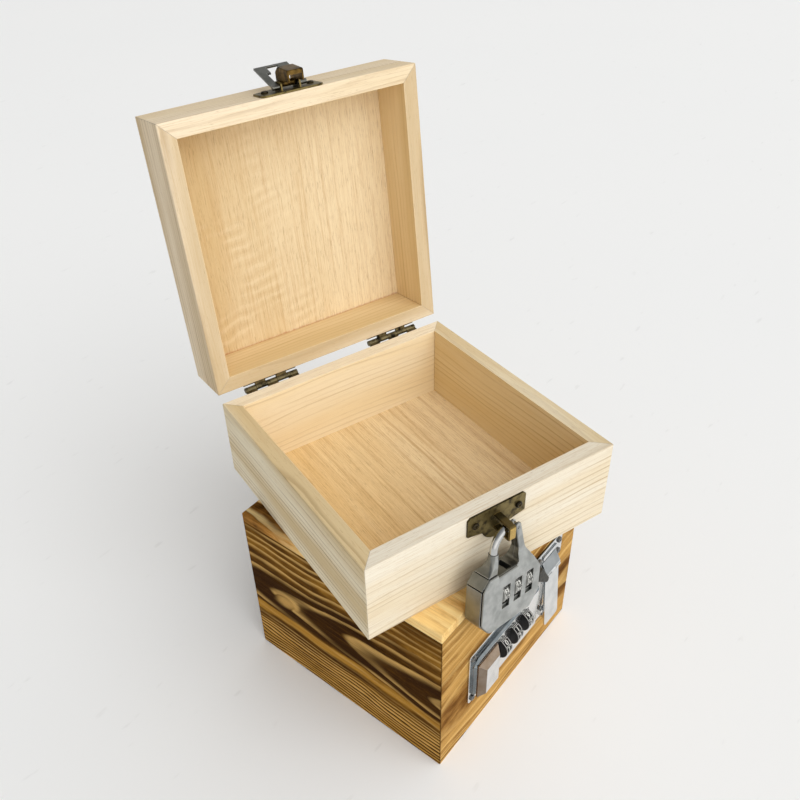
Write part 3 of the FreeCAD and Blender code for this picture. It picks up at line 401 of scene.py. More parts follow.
    def crevice(self, reach: float, low: float, high: float) -> Level:
        """Find narrow gaps.

        Args:
            reach: How far it looks, in millimetres.
            low: Openness at which a gap counts in full.
            high: Openness at which it no longer counts.

        Returns:
            A level that is 1 in gaps.
        """
        sockets = {"Distance": reach * MM}
        open_share = self.node("ShaderNodeAmbientOcclusion", {"samples": 8}, sockets, "AO")
        return 1 - open_share.rise(low, high)

    def rounded(self, radius: float) -> Level:
        """The surface direction with its edges rounded off, for a radius in millimetres."""
        return self.node("ShaderNodeBevel", {"samples": 8}, {"Radius": radius * MM})

    def bump(self, height: Level, depth: float, strength: float, base: Level) -> Level:
        """Relief of a surface.

        Args:
            height: The relief, about 0 to 1.
            depth: What 1 stands for, in millimetres.
            strength: How much of it shows.
            base: The surface direction that it starts from.

        Returns:
            The surface direction.
        """
        sockets = {"Height": height, "Distance": depth * MM, "Strength": strength, "Normal": base}
        return self.node("ShaderNodeBump", None, sockets)

    def finish(self, sockets: dict[str, object]) -> None:
        """Close a material with a surface that has the given sockets."""
        surface = self.node("ShaderNodeBsdfPrincipled", None, sockets, "BSDF")
        self.node("ShaderNodeOutputMaterial", None, {"Surface": surface})


@dataclass(frozen=True)
class PaleTimber:
    """Unfinished pale board: cream ground, soft brown growth lines, fine fibres and pores, and a painted
    golden bounce light on its inner faces.
    """

    cream: Colour = paint(233, 225, 207)
    tan: Colour = paint(227, 212, 183)
    line: Colour = paint(176, 148, 104)
    fibre: Colour = paint(196, 164, 116)
    pore: Colour = paint(158, 126, 82)
    worn: Colour = paint(249, 240, 220)
    joint: Colour = paint(132, 102, 62)
    honey: Colour = paint(232, 202, 142)
    inner_face: float = 66.3
    rate: float = 0.28
    lean: float = 0.4
    wander: float = 3.4
    quiver: float = 0.34
    line_share: float = 0.85
    fibre_share: float = 0.5
    pore_share: float = 0.5
    honey_share: float = 0.5
    worn_share: float = 0.4
    joint_share: float = 0.4
    rough: float = 0.58
    rough_spread: float = 0.2
    gloss: float = 0.25
    relief_depth: float = 0.08
    edge_radius: float = 0.35

    def material(self, board: Board) -> bpy.types.Material:
        """Make the finish for one board.

        Args:
            board: The board.

        Returns:
            The material.
        """
        made, sheet = Sheet.named(board.node + "_timber")
        place = sheet.board_place(board)
        along, across, face = sheet.split(place)
        drift = sheet.grain(place, 0.006, 0.03) - 0.5
        quiver = sheet.grain(place, 0.03, 0.16, 3.0) - 0.5
        rings = (across + face * self.lean) * self.rate + drift * self.wander + quiver * self.quiver
        step = rings.fraction()
        line = step.rise(0.6, 0.92) * (1 - step.rise(0.93, 1.0)) * (rings.chance() * 0.8 + 0.2)
        fade = sheet.grain(place, 0.012, 0.1, 3.0).rise(0.28, 0.62)
        fibre = sheet.grain(place, 0.05, 2.4, 4.0, 0.6)
        pore = sheet.grain(place, 0.2, 4.2).rise(0.63, 0.72)
        broad = sheet.grain(place, 0.004, 0.05, 2.0).rise(0.32, 0.68)
        inset = face - abs(along - board.cut)
        seam = 1 - inset.rise(0.02, 0.26)
        colour = sheet.mix(broad, self.cream, self.tan)
        colour = sheet.mix(line * fade * self.line_share, colour, self.line)
        colour = sheet.mix(fibre.rise(0.42, 0.78) * self.fibre_share, colour, self.fibre)
        colour = sheet.mix(pore * self.pore_share, colour, self.pore)
        # Painted light: the inner faces take a golden tint that stands in for the light bouncing between the
        # walls.
        inside = 1 - face.rise(self.inner_face, self.inner_face + 0.4)
        colour = sheet.mix(inside * self.honey_share, colour, self.honey)
        colour = sheet.mix(sheet.edge(0.9, 0.02, 0.3) * self.worn_share, colour, self.worn)
        colour = sheet.mix(seam * self.joint_share, colour, self.joint)
        relief = fibre * 0.7 + line * 0.15 - pore * 0.5 - seam * 1.5
        sheet.finish({
            "Base Color": colour,
            "Roughness": self.rough + fibre * self.rough_spread,
            "Specular IOR Level": self.gloss,
            "Normal": sheet.bump(relief, self.relief_depth, 0.5, sheet.rounded(self.edge_radius)),
        })
        return made


@dataclass(frozen=True)
class VeneerSheet:
    """Thin golden sheet with straight fibres, short pores, faint ripples across the grain and painted light
    that grows toward one side.
    """

    ground: Colour = paint(222, 199, 158)
    gold: Colour = paint(214, 187, 139)
    streak: Colour = paint(190, 148, 92)
    pore: Colour = paint(150, 110, 64)
    sheen: Colour = paint(248, 230, 194)
    stain: Colour = paint(176, 104, 60)
    ripple: float = 0.2
    streak_share: float = 0.3
    fibre_share: float = 0.46
    pore_share: float = 0.42
    stain_share: float = 0.55
    stained_from: float = 65.2
    band_from: float = 200.0
    paler: float = 0.85
    paler_side: float = 1.0
    rough: float = 0.56
    rough_spread: float = 0.2
    gloss: float = 0.25
    relief_depth: float = 0.08
    edge_radius: float = 0.3

    def material(self, board: Board) -> bpy.types.Material:
        """Make the finish for one sheet.

        Args:
            board: The sheet as a board.

        Returns:
            The material.
        """
        made, sheet = Sheet.named(board.node + "_veneer")
        place = sheet.board_place(board)
        along, across, _ = sheet.split(place)
        broad = sheet.grain(place, 0.004, 0.05).rise(0.3, 0.7)
        band = across.rise(self.band_from, self.band_from + 8.0)
        streak = sheet.grain(place, 0.008, 0.42, 3.0, 0.6).rise(0.46, 0.76)
        fibre = sheet.grain(place, 0.05, 2.8, 4.0, 0.65)
        pore = sheet.grain(place, 0.16, 3.6, 2.0, 0.6).rise(0.58, 0.68)
        sway = sheet.grain(place, 0.04, 0.05, 3.0) * 9.0
        wave = (along * 0.9 + across * 0.16 + sway).math("SINE")
        spread = sheet.noise(place, (0.03, 0.04, 0.03), 3.0).rise(0.44, 0.64)
        half = 1 - across.rise(-8.0, 18.0)
        ripple = spread * half * self.ripple
        ragged = sheet.noise(place, (0.5, 0.35, 0.5), 4.0, 0.7)
        stain = (along - board.cut + ragged * 3.0).rise(self.stained_from + 1.2, self.stained_from + 2.6)
        colour = sheet.mix(broad, self.ground, self.gold)
        # Painted light: the sheet grows paler toward one side, standing in for the light that falls more
        # strongly there.
        colour = sheet.mix((across * self.paler_side).rise(-65.0, 75.0) * self.paler, colour, self.sheen)
        colour = sheet.mix(streak * (band * 0.5 + self.streak_share), colour, self.streak)
        colour = sheet.mix(fibre.rise(0.4, 0.75) * self.fibre_share, colour, self.streak)
        colour = sheet.mix(pore * self.pore_share, colour, self.pore)
        colour = sheet.mix(wave.rise(0.1, 1.0) * ripple, colour, self.sheen)
        colour = sheet.mix((0 - wave).rise(0.3, 1.0) * ripple * 0.7, colour, self.streak)
        colour = sheet.mix(stain * self.stain_share, colour, self.stain)
        relief = fibre * 0.6 - pore * 0.7 + wave * ripple * 0.5
        sheet.finish({
            "Base Color": colour,
            "Roughness": self.rough + fibre * self.rough_spread,
            "Specular IOR Level": self.gloss,
            "Normal": sheet.bump(relief, self.relief_depth, 0.5, sheet.rounded(self.edge_radius)),
        })
        return made


@dataclass(frozen=True)
class CharredTimber:
    """Torched and brushed board: burnt heart, pale standing growth lines, fine low stripes, black edges."""

    char: Colour = paint(50, 26, 3)
    brown: Colour = paint(112, 74, 20)
    amber: Colour = paint(180, 132, 54)
    pale: Colour = paint(216, 174, 104)
    burn: float = 0.55
    heart: float = 59.0
    core: float = 0.5
    spacing: float = 4.6
    lean: float = -0.08
    eye: tuple[float, float] = (-42.0, 56.0)
    eye_share: float = 0.0
    saw: float = 0.0
    stripe: float = 0.95
    back_burn: float = 0.0
    wander: float = 16.0
    quiver: float = 3.4
    ring_centre: float = 19.0
    eye_wide: float = 13.0
    eye_tall: float = 6.5
    low_from: float = 30.0
    edge_share: float = 0.6
    scorch_share: float = 1.8
    ring_share: float = 0.32
    brush_share: float = 0.34
    fibre_share: float = 0.36
    fleck_share: float = 0.3
    rough: float = 0.5
    rough_spread: float = 0.25
    gloss: float = 0.02
    relief_depth: float = 0.16
    edge_radius: float = 0.5

    def material(self, board: Board) -> bpy.types.Material:
        """Make the finish for one board.

        Args:
            board: The board.

        Returns:
            The material.
        """
        made, sheet = Sheet.named(board.node + "_charred")
        place = sheet.board_place(board)
        along, across, face = sheet.split(place)
        local = along - board.cut
        drift = sheet.grain(place, 0.012, 0.02) - 0.5
        quiver = sheet.grain(place, 0.035, 0.12, 3.0) - 0.5
        height = across + drift * self.wander + quiver * self.quiver - self.heart
        sunk = local * self.lean + self.ring_centre + face * 0.06
        side_step = (local - self.eye[0] + quiver * 12.0) / self.eye_wide
        rise_step = (across - self.eye[1] - (local - self.eye[0]) * 0.25) / self.eye_tall
        eye = (1 - (side_step * side_step + rise_step * rise_step).rise(0.0, 1.0)) * self.eye_share
        low = (0 - height - self.low_from).math("MAXIMUM", 0.0)
        rings = (height * height + sunk * sunk).math("SQRT") / self.spacing + low * 0.16 + eye * 0.35
        step = rings.fraction()
        line = step.rise(0.45, 0.86) * (1 - step.rise(0.9, 1.0))
        fade = sheet.grain(place, 0.014, 0.07, 3.0).rise(0.34, 0.64)
        scorch = sheet.grain(place, 0.02, 0.06, 6.0, 0.65) - 0.5
        fibre = sheet.grain(place, 0.06, 2.2, 4.0, 0.65)
        brush = sheet.grain(place, 0.02, 0.9, 3.0, 0.6)
        fleck = sheet.grain(place, 0.5, 0.9, 4.0, 0.7)
        core = 1 - abs(height + 1.0).rise(11.0, 23.0)
        bare = low.rise(1.0, 9.0)
        ribbon = 1 - abs(height + 22.0).rise(2.0, 6.0)
        burn = core * self.core + scorch * self.scorch_share
        burn = burn + (rings.chance() - 0.5) * self.ring_share + self.burn
        burn = burn - bare * 0.45 - eye * 0.55 - ribbon * self.core + local.rise(15.0, 62.0) * self.back_burn
        seam = 1 - (face - abs(local)).rise(0.05, 0.5)
        marks = ((local * 1.15 + across * 1.6 + fibre * 2.0) * 3.4).math("SINE").rise(0.2, 1.0)
        colour = sheet.mix(burn.rise(0.05, 0.62), self.amber, self.brown)
        colour = sheet.mix(burn.rise(0.4, 1.0), colour, self.char)
        colour = sheet.mix(bare * (1 - step.rise(0.25, 0.5)) * self.stripe, colour, self.char)
        colour = sheet.mix(line * (fade * 0.66 + 0.16 + bare * 0.16), colour, self.pale)
        colour = sheet.mix(eye * (fade * 0.4 + 0.3), colour, self.pale)
        colour = sheet.mix(brush.rise(0.45, 0.75) * self.brush_share, colour, self.brown)
        colour = sheet.mix(fibre.rise(0.45, 0.8) * self.fibre_share, colour, self.char)
        colour = sheet.mix(fleck.rise(0.56, 0.72) * core * self.fleck_share, colour, self.brown)
        colour = sheet.mix(marks * brush * self.saw, colour, self.brown)
        colour = sheet.mix(sheet.edge(1.3, 0.03, 0.3) * self.edge_share, colour, self.char)
        colour = sheet.mix(seam * self.edge_share, colour, self.char)
        relief = line * 0.8 + fibre * 0.5 + brush * 0.4 - seam - marks * self.saw
        sheet.finish({
            "Base Color": colour,
            "Roughness": self.rough + fibre * self.rough_spread,
            "Specular IOR Level": self.gloss,
            "Normal": sheet.bump(relief, self.relief_depth, 0.6, sheet.rounded(self.edge_radius)),
        })
        return made


@dataclass(frozen=True)
class AgedBronze:
    """Antique bronze plate: olive brown with dark patches, painted black shade in crevices and on faces
    turned from the front, and a bright edge and front lip that are partly rubbed wear and partly painted
    highlight.
    """

    ground: Colour = paint(132, 116, 72)
    dark: Colour = paint(60, 50, 28)
    rubbed: Colour = paint(216, 182, 106)
    grime: Colour = paint(14, 11, 7)
    edge_share: float = 0.75
    speck_share: float = 0.35
    metallic: float = 0.9
    rough: float = 0.3
    rough_spread: float = 0.25
    front: Triple = (0.0, -1.0, 0.0)
    side_share: float = 0.0
    rubbed_from: float = 1000.0
    rubbed_fade: float = 2.5
    rubbed_share: float = 0.8
    relief_depth: float = 0.03
    edge_radius: float = 0.25

    def material(self, name: str) -> bpy.types.Material:
        """Make the finish.

        Args:
            name: The material's name.

        Returns:
            The material.
        """
        made, sheet = Sheet.named(name)
        place = sheet.metal_place()
        cloud = sheet.cloud(place, 0.25)
        grain = sheet.cloud(place, 3.0, 3.0, 0.6)
        edge = sheet.edge(0.5, 0.03, 0.3) * grain.rise(0.25, 0.55)
        colour = sheet.mix(cloud.rise(0.42, 0.7), self.ground, self.dark)
        colour = sheet.mix(grain.rise(0.5, 0.75) * self.speck_share, colour, self.dark)
        # Painted highlight, partly rubbed wear: the parts that reach furthest toward the front turn bright.
        front_most = sheet.toward(place, self.front).rise(self.rubbed_from, self.rubbed_from + self.rubbed_fade)
        colour = sheet.mix(front_most * grain.rise(0.2, 0.5) * self.rubbed_share, colour, self.rubbed)
        # Painted shade: faces turned away from the front go black.
        colour = sheet.mix(sheet.slanted(self.front) * self.side_share, colour, self.grime)
        # Painted highlight, partly rubbed wear: the edges turn bright.
        colour = sheet.mix(edge * self.edge_share, colour, self.rubbed)
        # Painted shade: narrow gaps and hollows go black.
        colour = sheet.mix(sheet.crevice(2.2, 0.2, 0.62), colour, self.grime)
        sheet.finish({
            "Base Color": colour,
            "Metallic": self.metallic,
            "Roughness": cloud * self.rough_spread + self.rough,
            "Normal": sheet.bump(grain + cloud, self.relief_depth, 0.35, sheet.rounded(self.edge_radius)),
        })
        return made


@dataclass(frozen=True)
class PlatedMetal:
    """Plated or cast metal: one colour with haze, fine scratches and pits, painted shade in crevices, a
    painted highlight on its edges, and painted shade and reflection on faces turned from the front.
    """

    ground: Colour = paint(226, 228, 229)
    haze: Colour = paint(190, 195, 198)
    edge_colour: Colour = paint(244, 244, 242)
    grime: Colour = paint(20, 20, 20)
    side: Colour = paint(70, 82, 88)
    front: Triple = (0.0, -1.0, 0.0)
    side_share: float = 0.0
    rough: float = 0.08
    rough_spread: float = 0.12
    pits: float = 0.06
    soften: float = 0.3
    haze_share: float = 0.6
    speck_share: float = 0.3
    edge_share: float = 0.5
    grime_share: float = 0.92
    scratch_rough: float = 0.08
    relief_depth: float = 0.05

    def material(self, name: str) -> bpy.types.Material:
        """Make the finish.

        Args:
            name: The material's name.

        Returns:
            The material.
        """
        made, sheet = Sheet.named(name)
        place = sheet.metal_place()
        cloud = sheet.cloud(place, 0.12)
        grain = sheet.cloud(place, 2.4, 4.0, 0.65)
        scratch = sheet.noise(place, (0.4, 6.0, 0.9), 2.0).rise(0.64, 0.72)
        colour = sheet.mix(cloud.rise(0.35, 0.7) * self.haze_share, self.ground, self.haze)
        colour = sheet.mix(grain.rise(0.55, 0.8) * self.speck_share, colour, self.haze)
        # Painted shade and reflection: faces turned away from the front take the side colour.
        slant = sheet.slanted(self.front) * (cloud * 0.3 + 0.85)
        colour = sheet.mix(slant * self.side_share, colour, self.side)
        # Painted highlight: the edges turn brighter.
        colour = sheet.mix(sheet.edge(0.45, 0.03, 0.35) * self.edge_share, colour, self.edge_colour)
        # Painted shade: narrow gaps and hollows go dark.
        colour = sheet.mix(sheet.crevice(1.8, 0.25, 0.6) * self.grime_share, colour, self.grime)
        sheet.finish({
            "Base Color": colour,
            "Metallic": 1.0,
            "Roughness": cloud * self.rough_spread + scratch * self.scratch_rough + self.rough,
            "Normal": sheet.bump(
                grain - scratch * 0.4, self.relief_depth, self.pits, sheet.rounded(self.soften)),
        })
        return made


@dataclass(frozen=True)
class MouldedPart:
    """Moulded or inked part: a plain colour with a little mottling, dust on its edges and a satin skin."""

    ground: Colour = paint(15, 15, 16)
    mottle: Colour = paint(27, 27, 28)
    dust: Colour = paint(70, 70, 68)
    rough: float = 0.4
    metallic: float = 0.0
    gloss: float = 0.25
    dust_share: float = 0.6
    rough_spread: float = 0.15
    relief_depth: float = 0.02
    edge_radius: float = 0.2

    def material(self, name: str) -> bpy.types.Material:
        """Make the finish.

        Args:
            name: The material's name.

        Returns:
            The material.
        """
        made, sheet = Sheet.named(name)
        place = sheet.metal_place()
        cloud = sheet.cloud(place, 0.6)
        grain = sheet.cloud(place, 5.0, 3.0, 0.6)
        edge = sheet.edge(0.3, 0.04, 0.4)
        colour = sheet.mix(cloud.rise(0.35, 0.7), self.ground, self.mottle)
        colour = sheet.mix(edge * grain * self.dust_share, colour, self.dust)
        sheet.finish({
            "Base Color": colour,
            "Metallic": self.metallic,
            "Roughness": self.rough + grain * self.rough_spread,
            "Specular IOR Level": self.gloss,
            "Normal": sheet.bump(grain, self.relief_depth, 0.3, sheet.rounded(self.edge_radius)),
        })
        return made


def dress(material: bpy.types.Material, *nodes: str) -> None:
    """Put a finish on CAD nodes.

    Args:
        material: The finish.
        nodes: The nodes' names.
    """
    for node in nodes:
        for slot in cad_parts[node].material_slots:
            slot.material = material
        LOG.info("dressed %s with %s", node, material.name)


def deselect() -> None:
    """Leave nothing selected."""
    bpy.ops.object.select_all(action="DESELECT")


@dataclass(frozen=True)
class NumberStock:
    """Flat numbers and a flat frame of one size, each modelled once."""

    number_tall: float
    frame_wide: float
    frame_tall: float
    frame_line: float
    depth: float = 0.05
    swell: float = 0.012
    text_scale: float = 1.42
    merge_within: float = 0.001
    strips: int = 8

    def flat_number(self, number: int) -> bpy.types.Object:
        """Model one number lying flat, as a thin closed solid.

        Args:
            number: Which number.

        Returns:
            The mesh object, in metres.
        """
        deselect()
        bpy.ops.object.text_add(location=(0, 0, 0))
        made = bpy.context.object
        made.data.body = str(number)
        made.data.align_x = "CENTER"
        made.data.align_y = "CENTER"
        made.data.size = self.number_tall * self.text_scale * MM
        made.data.resolution_u = 3
        made.data.offset = self.number_tall * self.swell * MM
        made.data.extrude = self.depth * MM
        bpy.ops.object.convert(target="MESH")
        made = bpy.context.object
        bpy.ops.object.mode_set(mode="EDIT")
        bpy.ops.mesh.select_all(action="SELECT")
        bpy.ops.mesh.remove_doubles(threshold=self.merge_within * MM)
        bpy.ops.mesh.normals_make_consistent(inside=False)
        bpy.ops.object.mode_set(mode="OBJECT")
        return self.sliced(made)

    def flat_frame(self) -> bpy.types.Object:
        """Model the frame round a number, as a thin closed ring.

        Returns:
            The mesh object, in metres.
        """
        deselect()
        bpy.ops.mesh.primitive_plane_add(size=1.0)
        made = bpy.context.object
        made.scale = (self.frame_wide * MM, self.frame_tall * MM, 1.0)
        bpy.ops.object.transform_apply(location=False, rotation=False, scale=True)
        bpy.ops.object.mode_set(mode="EDIT")
        bpy.ops.mesh.select_all(action="SELECT")
        bpy.ops.mesh.inset(thickness=self.frame_line * MM)
        bpy.ops.mesh.delete(type="FACE")
        bpy.ops.mesh.select_all(action="SELECT")
        bpy.ops.mesh.extrude_region_move(TRANSFORM_OT_translate={"value": (0, 0, self.depth * MM)})
        bpy.ops.mesh.select_all(action="SELECT")
        bpy.ops.mesh.normals_make_consistent(inside=False)
        bpy.ops.object.mode_set(mode="OBJECT")
        return self.sliced(made)

    def sliced(self, made: bpy.types.Object) -> bpy.types.Object:
        """Cut a flat piece into strips so that it can follow a dial's curve.

        Args:
            made: The piece.

        Returns:
            The same piece.
        """
        deselect()
        made.select_set(True)
        bpy.context.view_layer.objects.active = made
        bpy.ops.object.mode_set(mode="EDIT")
        for index in range(1, self.strips):
            level = (index / self.strips - 0.5) * self.frame_tall * MM
            bpy.ops.mesh.select_all(action="SELECT")
            bpy.ops.mesh.bisect(plane_co=(0, level, 0), plane_no=(0, 1, 0))
        bpy.ops.object.mode_set(mode="OBJECT")
        return made


@dataclass(frozen=True)
class NumberRing:
    """Ten numbers in frames round one dial."""

    body: str
    slot: str
    stand: Stand
    centre: Triple
    radius: float
    first: int
    tilt: float

    def wrapped(self, pattern: bpy.types.Object, angle: float) -> bpy.types.Object:
        """Copy a flat piece and lay the copy round the dial.

        Args:
            pattern: The flat piece.
            angle: Where the copy's middle goes, in radians up from the front.

        Returns:
            The copy, with its own mesh.
        """
        made = pattern.copy()
        made.data = pattern.data.copy()
        bpy.context.scene.collection.objects.link(made)
        place = self.stand.matrix()
        for vertex in made.data.vertices:
            turn = angle + vertex.co.y / (self.radius * MM)
            out = self.radius * MM + vertex.co.z
            spot = Vector(self.centre) * MM
            spot += Vector((vertex.co.x, -out * math.cos(turn), out * math.sin(turn)))
            vertex.co = place @ spot
        return made

    def build(
        self, numbers: list[bpy.types.Object], outline: bpy.types.Object, ink: bpy.types.Material,
    ) -> None:
        """Copy the numbers and frames round the dial and join them.

        Args:
            numbers: The flat numbers, from 0 to 9.
            outline: The flat frame.
            ink: Their finish.
        """
        pieces = []
        for index in range(DIGITS):
            angle = math.radians(self.tilt) + 2 * math.pi * index / DIGITS
            pieces.append(self.wrapped(numbers[(self.first - index) % DIGITS], angle))
            pieces.append(self.wrapped(outline, angle))
        deselect()
        for piece in pieces:
            piece.select_set(True)
        bpy.context.view_layer.objects.active = pieces[0]
        bpy.ops.object.join()
        made = bpy.context.object
        made.name = self.body + "_numbers"
        made.data.materials.clear()
        made.data.materials.append(ink)
        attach(made, self.body)
        LOG.info("built %s", made.name)


@dataclass(frozen=True)
class DialSet:
    """The three numbered dials of a lock, in the axes of the sub-assembly that they stand on."""

    label: str
    slot: str
    stand: Stand
    x: Triple
    y: float
    z: float
    radius: float
    tilt: float
    shown: tuple[int, int, int]
    stock: NumberStock

    def build(self, ink: bpy.types.Material) -> None:
        """Model the numbers once and copy them round each dial.

        Args:
            ink: The finish of the numbers.
        """
        numbers = [self.stock.flat_number(number) for number in range(DIGITS)]
        outline = self.stock.flat_frame()
        for index, x in enumerate(self.x):
            body = "%s_dial_%d" % (self.label, index + 1)
            centre = (x, self.y, self.z)
            ring = NumberRing(body, self.slot, self.stand, centre, self.radius, self.shown[index], self.tilt)
            ring.build(numbers, outline, ink)
        for pattern in (*numbers, outline):
            bpy.data.objects.remove(pattern)


@dataclass
class DarkBox:
    """Charred lower box with its hinges."""

    front_cut: float = 311.0
    back_cut: float = 742.0
    left_cut: float = 0.0
    right_cut: float = 1260.0
    top_cut: float = 90.0
    under_cut: float = 640.0

    def dress(self) -> None:
        """Put the timber and hinge finishes on."""
        golden = {"amber": paint(198, 154, 86), "brown": paint(122, 80, 32), "pale": paint(228, 188, 118)}
        finishes = {
            Side.FRONT: CharredTimber(**golden, burn=0.24, core=0.32, heart=38.0, spacing=6.5, saw=0.6),
            Side.BACK: CharredTimber(burn=0.5, heart=40.0),
            Side.LEFT: CharredTimber(eye_share=1.0),
            Side.RIGHT: CharredTimber(burn=0.5, heart=66.0),
        }
        cuts = {
            Side.FRONT: self.front_cut, Side.BACK: self.back_cut,
            Side.LEFT: self.left_cut, Side.RIGHT: self.right_cut,
        }
        for label, side in WALLS:
            for node in ("dark_%s_wall" % label, "dark_lid_%s_rail" % label):
                dress(finishes[side].material(Board(node, Stand.DARK_BOX, side, cuts[side])), node)
        # Painted light: the top's colours are raised to make up for the shade that the pale box casts on it.
        brightened_top = CharredTimber(
            amber=paint(252, 214, 142), brown=paint(190, 134, 64), pale=paint(253, 226, 164),
            burn=0.19, core=0.1, heart=-20.0, spacing=8.0, stripe=0.0, back_burn=0.6)
        upper = Board("dark_lid_panel", Stand.DARK_BOX, Side.TOP, self.top_cut)
        under = Board("dark_floor", Stand.DARK_BOX, Side.UNDER, self.under_cut)
        dress(brightened_top.material(upper), upper.node)
        dress(brightened_top.material(under), under.node)
        brass = AgedBronze(ground=paint(112, 92, 54), dark=paint(48, 38, 22))
        dress(
            brass.material("hinge_bronze_lower"),
            "dark_hinge_box_leaves", "dark_hinge_lid_leaves", "dark_hinge_pins")
        screw = AgedBronze(ground=paint(70, 60, 40), dark=paint(28, 24, 18), edge_share=0.4)
        dress(screw.material("hinge_screws_lower"), "dark_hinge_box_screws", "dark_hinge_lid_screws")


@dataclass
class PaleBox:
    """Pale upper box with its lid, hinges, staple and clasp."""

    board_step: float = 230.0
    lid_cut: float = 1800.0

    def dress(self) -> None:
        """Put the timber and veneer on, then the fittings."""
        # Painted light: the back wall gets a paler copy because its inner face is lit. The left and right
        # walls get a darker copy as painted shade, with stronger real growth lines.
        light = PaleTimber(cream=paint(246, 236, 216), tan=paint(242, 224, 190), honey=paint(248, 226, 180))
        shaded_side_wall = PaleTimber(
            cream=paint(237, 226, 199), tan=paint(214, 192, 149), line=paint(142, 112, 66), line_share=0.95)
        walls = {Side.FRONT: PaleTimber(), Side.BACK: light, Side.LEFT: shaded_side_wall, Side.RIGHT: shaded_side_wall}
        # Painted light: the lid's front rail sits uppermost while the lid stands open and keeps a paler copy
        # for its lit rim. The other rails get a darker copy as painted shade, with stronger real growth
        # lines.
        upper = PaleTimber(
            cream=paint(238, 221, 193), tan=paint(230, 210, 173), line=paint(166, 128, 80), line_share=1.0)
        shaded_rail = PaleTimber(
            cream=paint(234, 217, 189), tan=paint(206, 183, 145), line=paint(138, 102, 56), line_share=1.0)
        rails = {Side.FRONT: upper, Side.BACK: shaded_rail, Side.LEFT: shaded_rail, Side.RIGHT: shaded_rail}
        for index, (label, side) in enumerate(WALLS):
            node = "pale_%s_wall" % label
            board = Board(node, Stand.PALE_BOX, side, self.board_step * index)
            dress(walls[side].material(board), node)
            node = "pale_lid_%s_rail" % label
            board = Board(node, Stand.PALE_LID, side, self.board_step * index + self.lid_cut)
            dress(rails[side].material(board), node)
        lid = VeneerSheet()
        dress(lid.material(Board("pale_lid_panel", Stand.PALE_LID, Side.UNDER, 60.0)), "pale_lid_panel")
        # Painted light: the floor grows paler toward the other side.
        floor = VeneerSheet(
            ground=paint(240, 212, 160), gold=paint(226, 190, 128), streak=paint(178, 132, 72), ripple=0.0,
            streak_share=0.5, stained_from=400.0, band_from=48.0, paler=0.7, paler_side=-1.0)
        dress(floor.material(Board("pale_floor", Stand.PALE_BOX, Side.TOP, 900.0)), "pale_floor")
        self.dress_fittings()

    def dress_fittings(self) -> None:
        """Put the metal finishes on."""
        dress(AgedBronze().material("clasp_bronze"), "clasp_plate", "clasp_pin")
        # Painted shade on the staple's sides, and a painted highlight, partly rubbed wear, on its front lip.
        staple = AgedBronze(front=(-0.314, -0.949, 0.0), side_share=0.75, rubbed_from=73.5)
        dress(staple.material("staple_bronze"), "staple_plate")
        lever = AgedBronze(ground=paint(120, 94, 46), dark=paint(46, 34, 16), rubbed=paint(228, 190, 104))
        dress(lever.material("lever_bronze"), "clasp_lever")
        link = PlatedMetal(ground=paint(128, 128, 122), haze=paint(88, 88, 82), rough=0.28)
        dress(link.material("link_steel"), "clasp_link")
        # Painted shade: the upper hinges' edges are painted black.
        hinge = AgedBronze(
            ground=paint(128, 116, 84), dark=paint(28, 24, 16), rubbed=paint(8, 7, 5), edge_share=1.0)
        dress(
            hinge.material("hinge_bronze_upper"),
            "pale_hinge_box_leaves", "pale_hinge_lid_leaves", "pale_hinge_pins")
        screw = AgedBronze(ground=paint(66, 58, 42), dark=paint(26, 22, 16), edge_share=0.5)
        dress(
            screw.material("fitting_screws"),
            "staple_screws", "clasp_screws", "pale_hinge_box_screws", "pale_hinge_lid_screws")


@dataclass
class CombinationLatch:
    """Chrome latch on the lower box, with three numbered dials."""

    dials: DialSet = DialSet(
        label="latch", slot="silver_dial", stand=Stand.DARK_BOX, x=(-14.6, -3.0, 8.6), y=-69.1, z=51.5,
        radius=7.4, tilt=8.0, shown=(1, 2, 0),
        stock=NumberStock(number_tall=2.9, frame_wide=4.8, frame_tall=4.1, frame_line=0.24))

    def build(self) -> None:
        """Model the dial numbers."""
        ink = MouldedPart(paint(226, 226, 220), paint(200, 200, 194), paint(240, 240, 236), 0.45)
        self.dials.build(ink.material("latch_number_ink"))

    def dress(self) -> None:
        """Put the metal finishes on."""
        dress(PlatedMetal().material("latch_chrome"), "latch_plate", "hasp_flap", "hasp_pin", "latch_axle")
        # Painted reflection: the bevels and sides of the cover and hasp plate take a dark blue-grey.
        dress(PlatedMetal(side_share=0.8).material("latch_chrome_cover"), "latch_cover", "hasp_plate")
        # Painted reflection: the button's sides take the brown of the wood around it.
        button = PlatedMetal(side=paint(112, 86, 52), side_share=0.85)
        dress(button.material("latch_chrome_button"), "latch_button")
        screw = PlatedMetal(ground=paint(130, 130, 128), haze=paint(84, 84, 84), rough=0.22)
        dress(screw.material("latch_screws"), "latch_plate_screws", "hasp_screws")
        dress(MouldedPart().material("latch_dial_black"), "latch_dial_1", "latch_dial_2", "latch_dial_3")


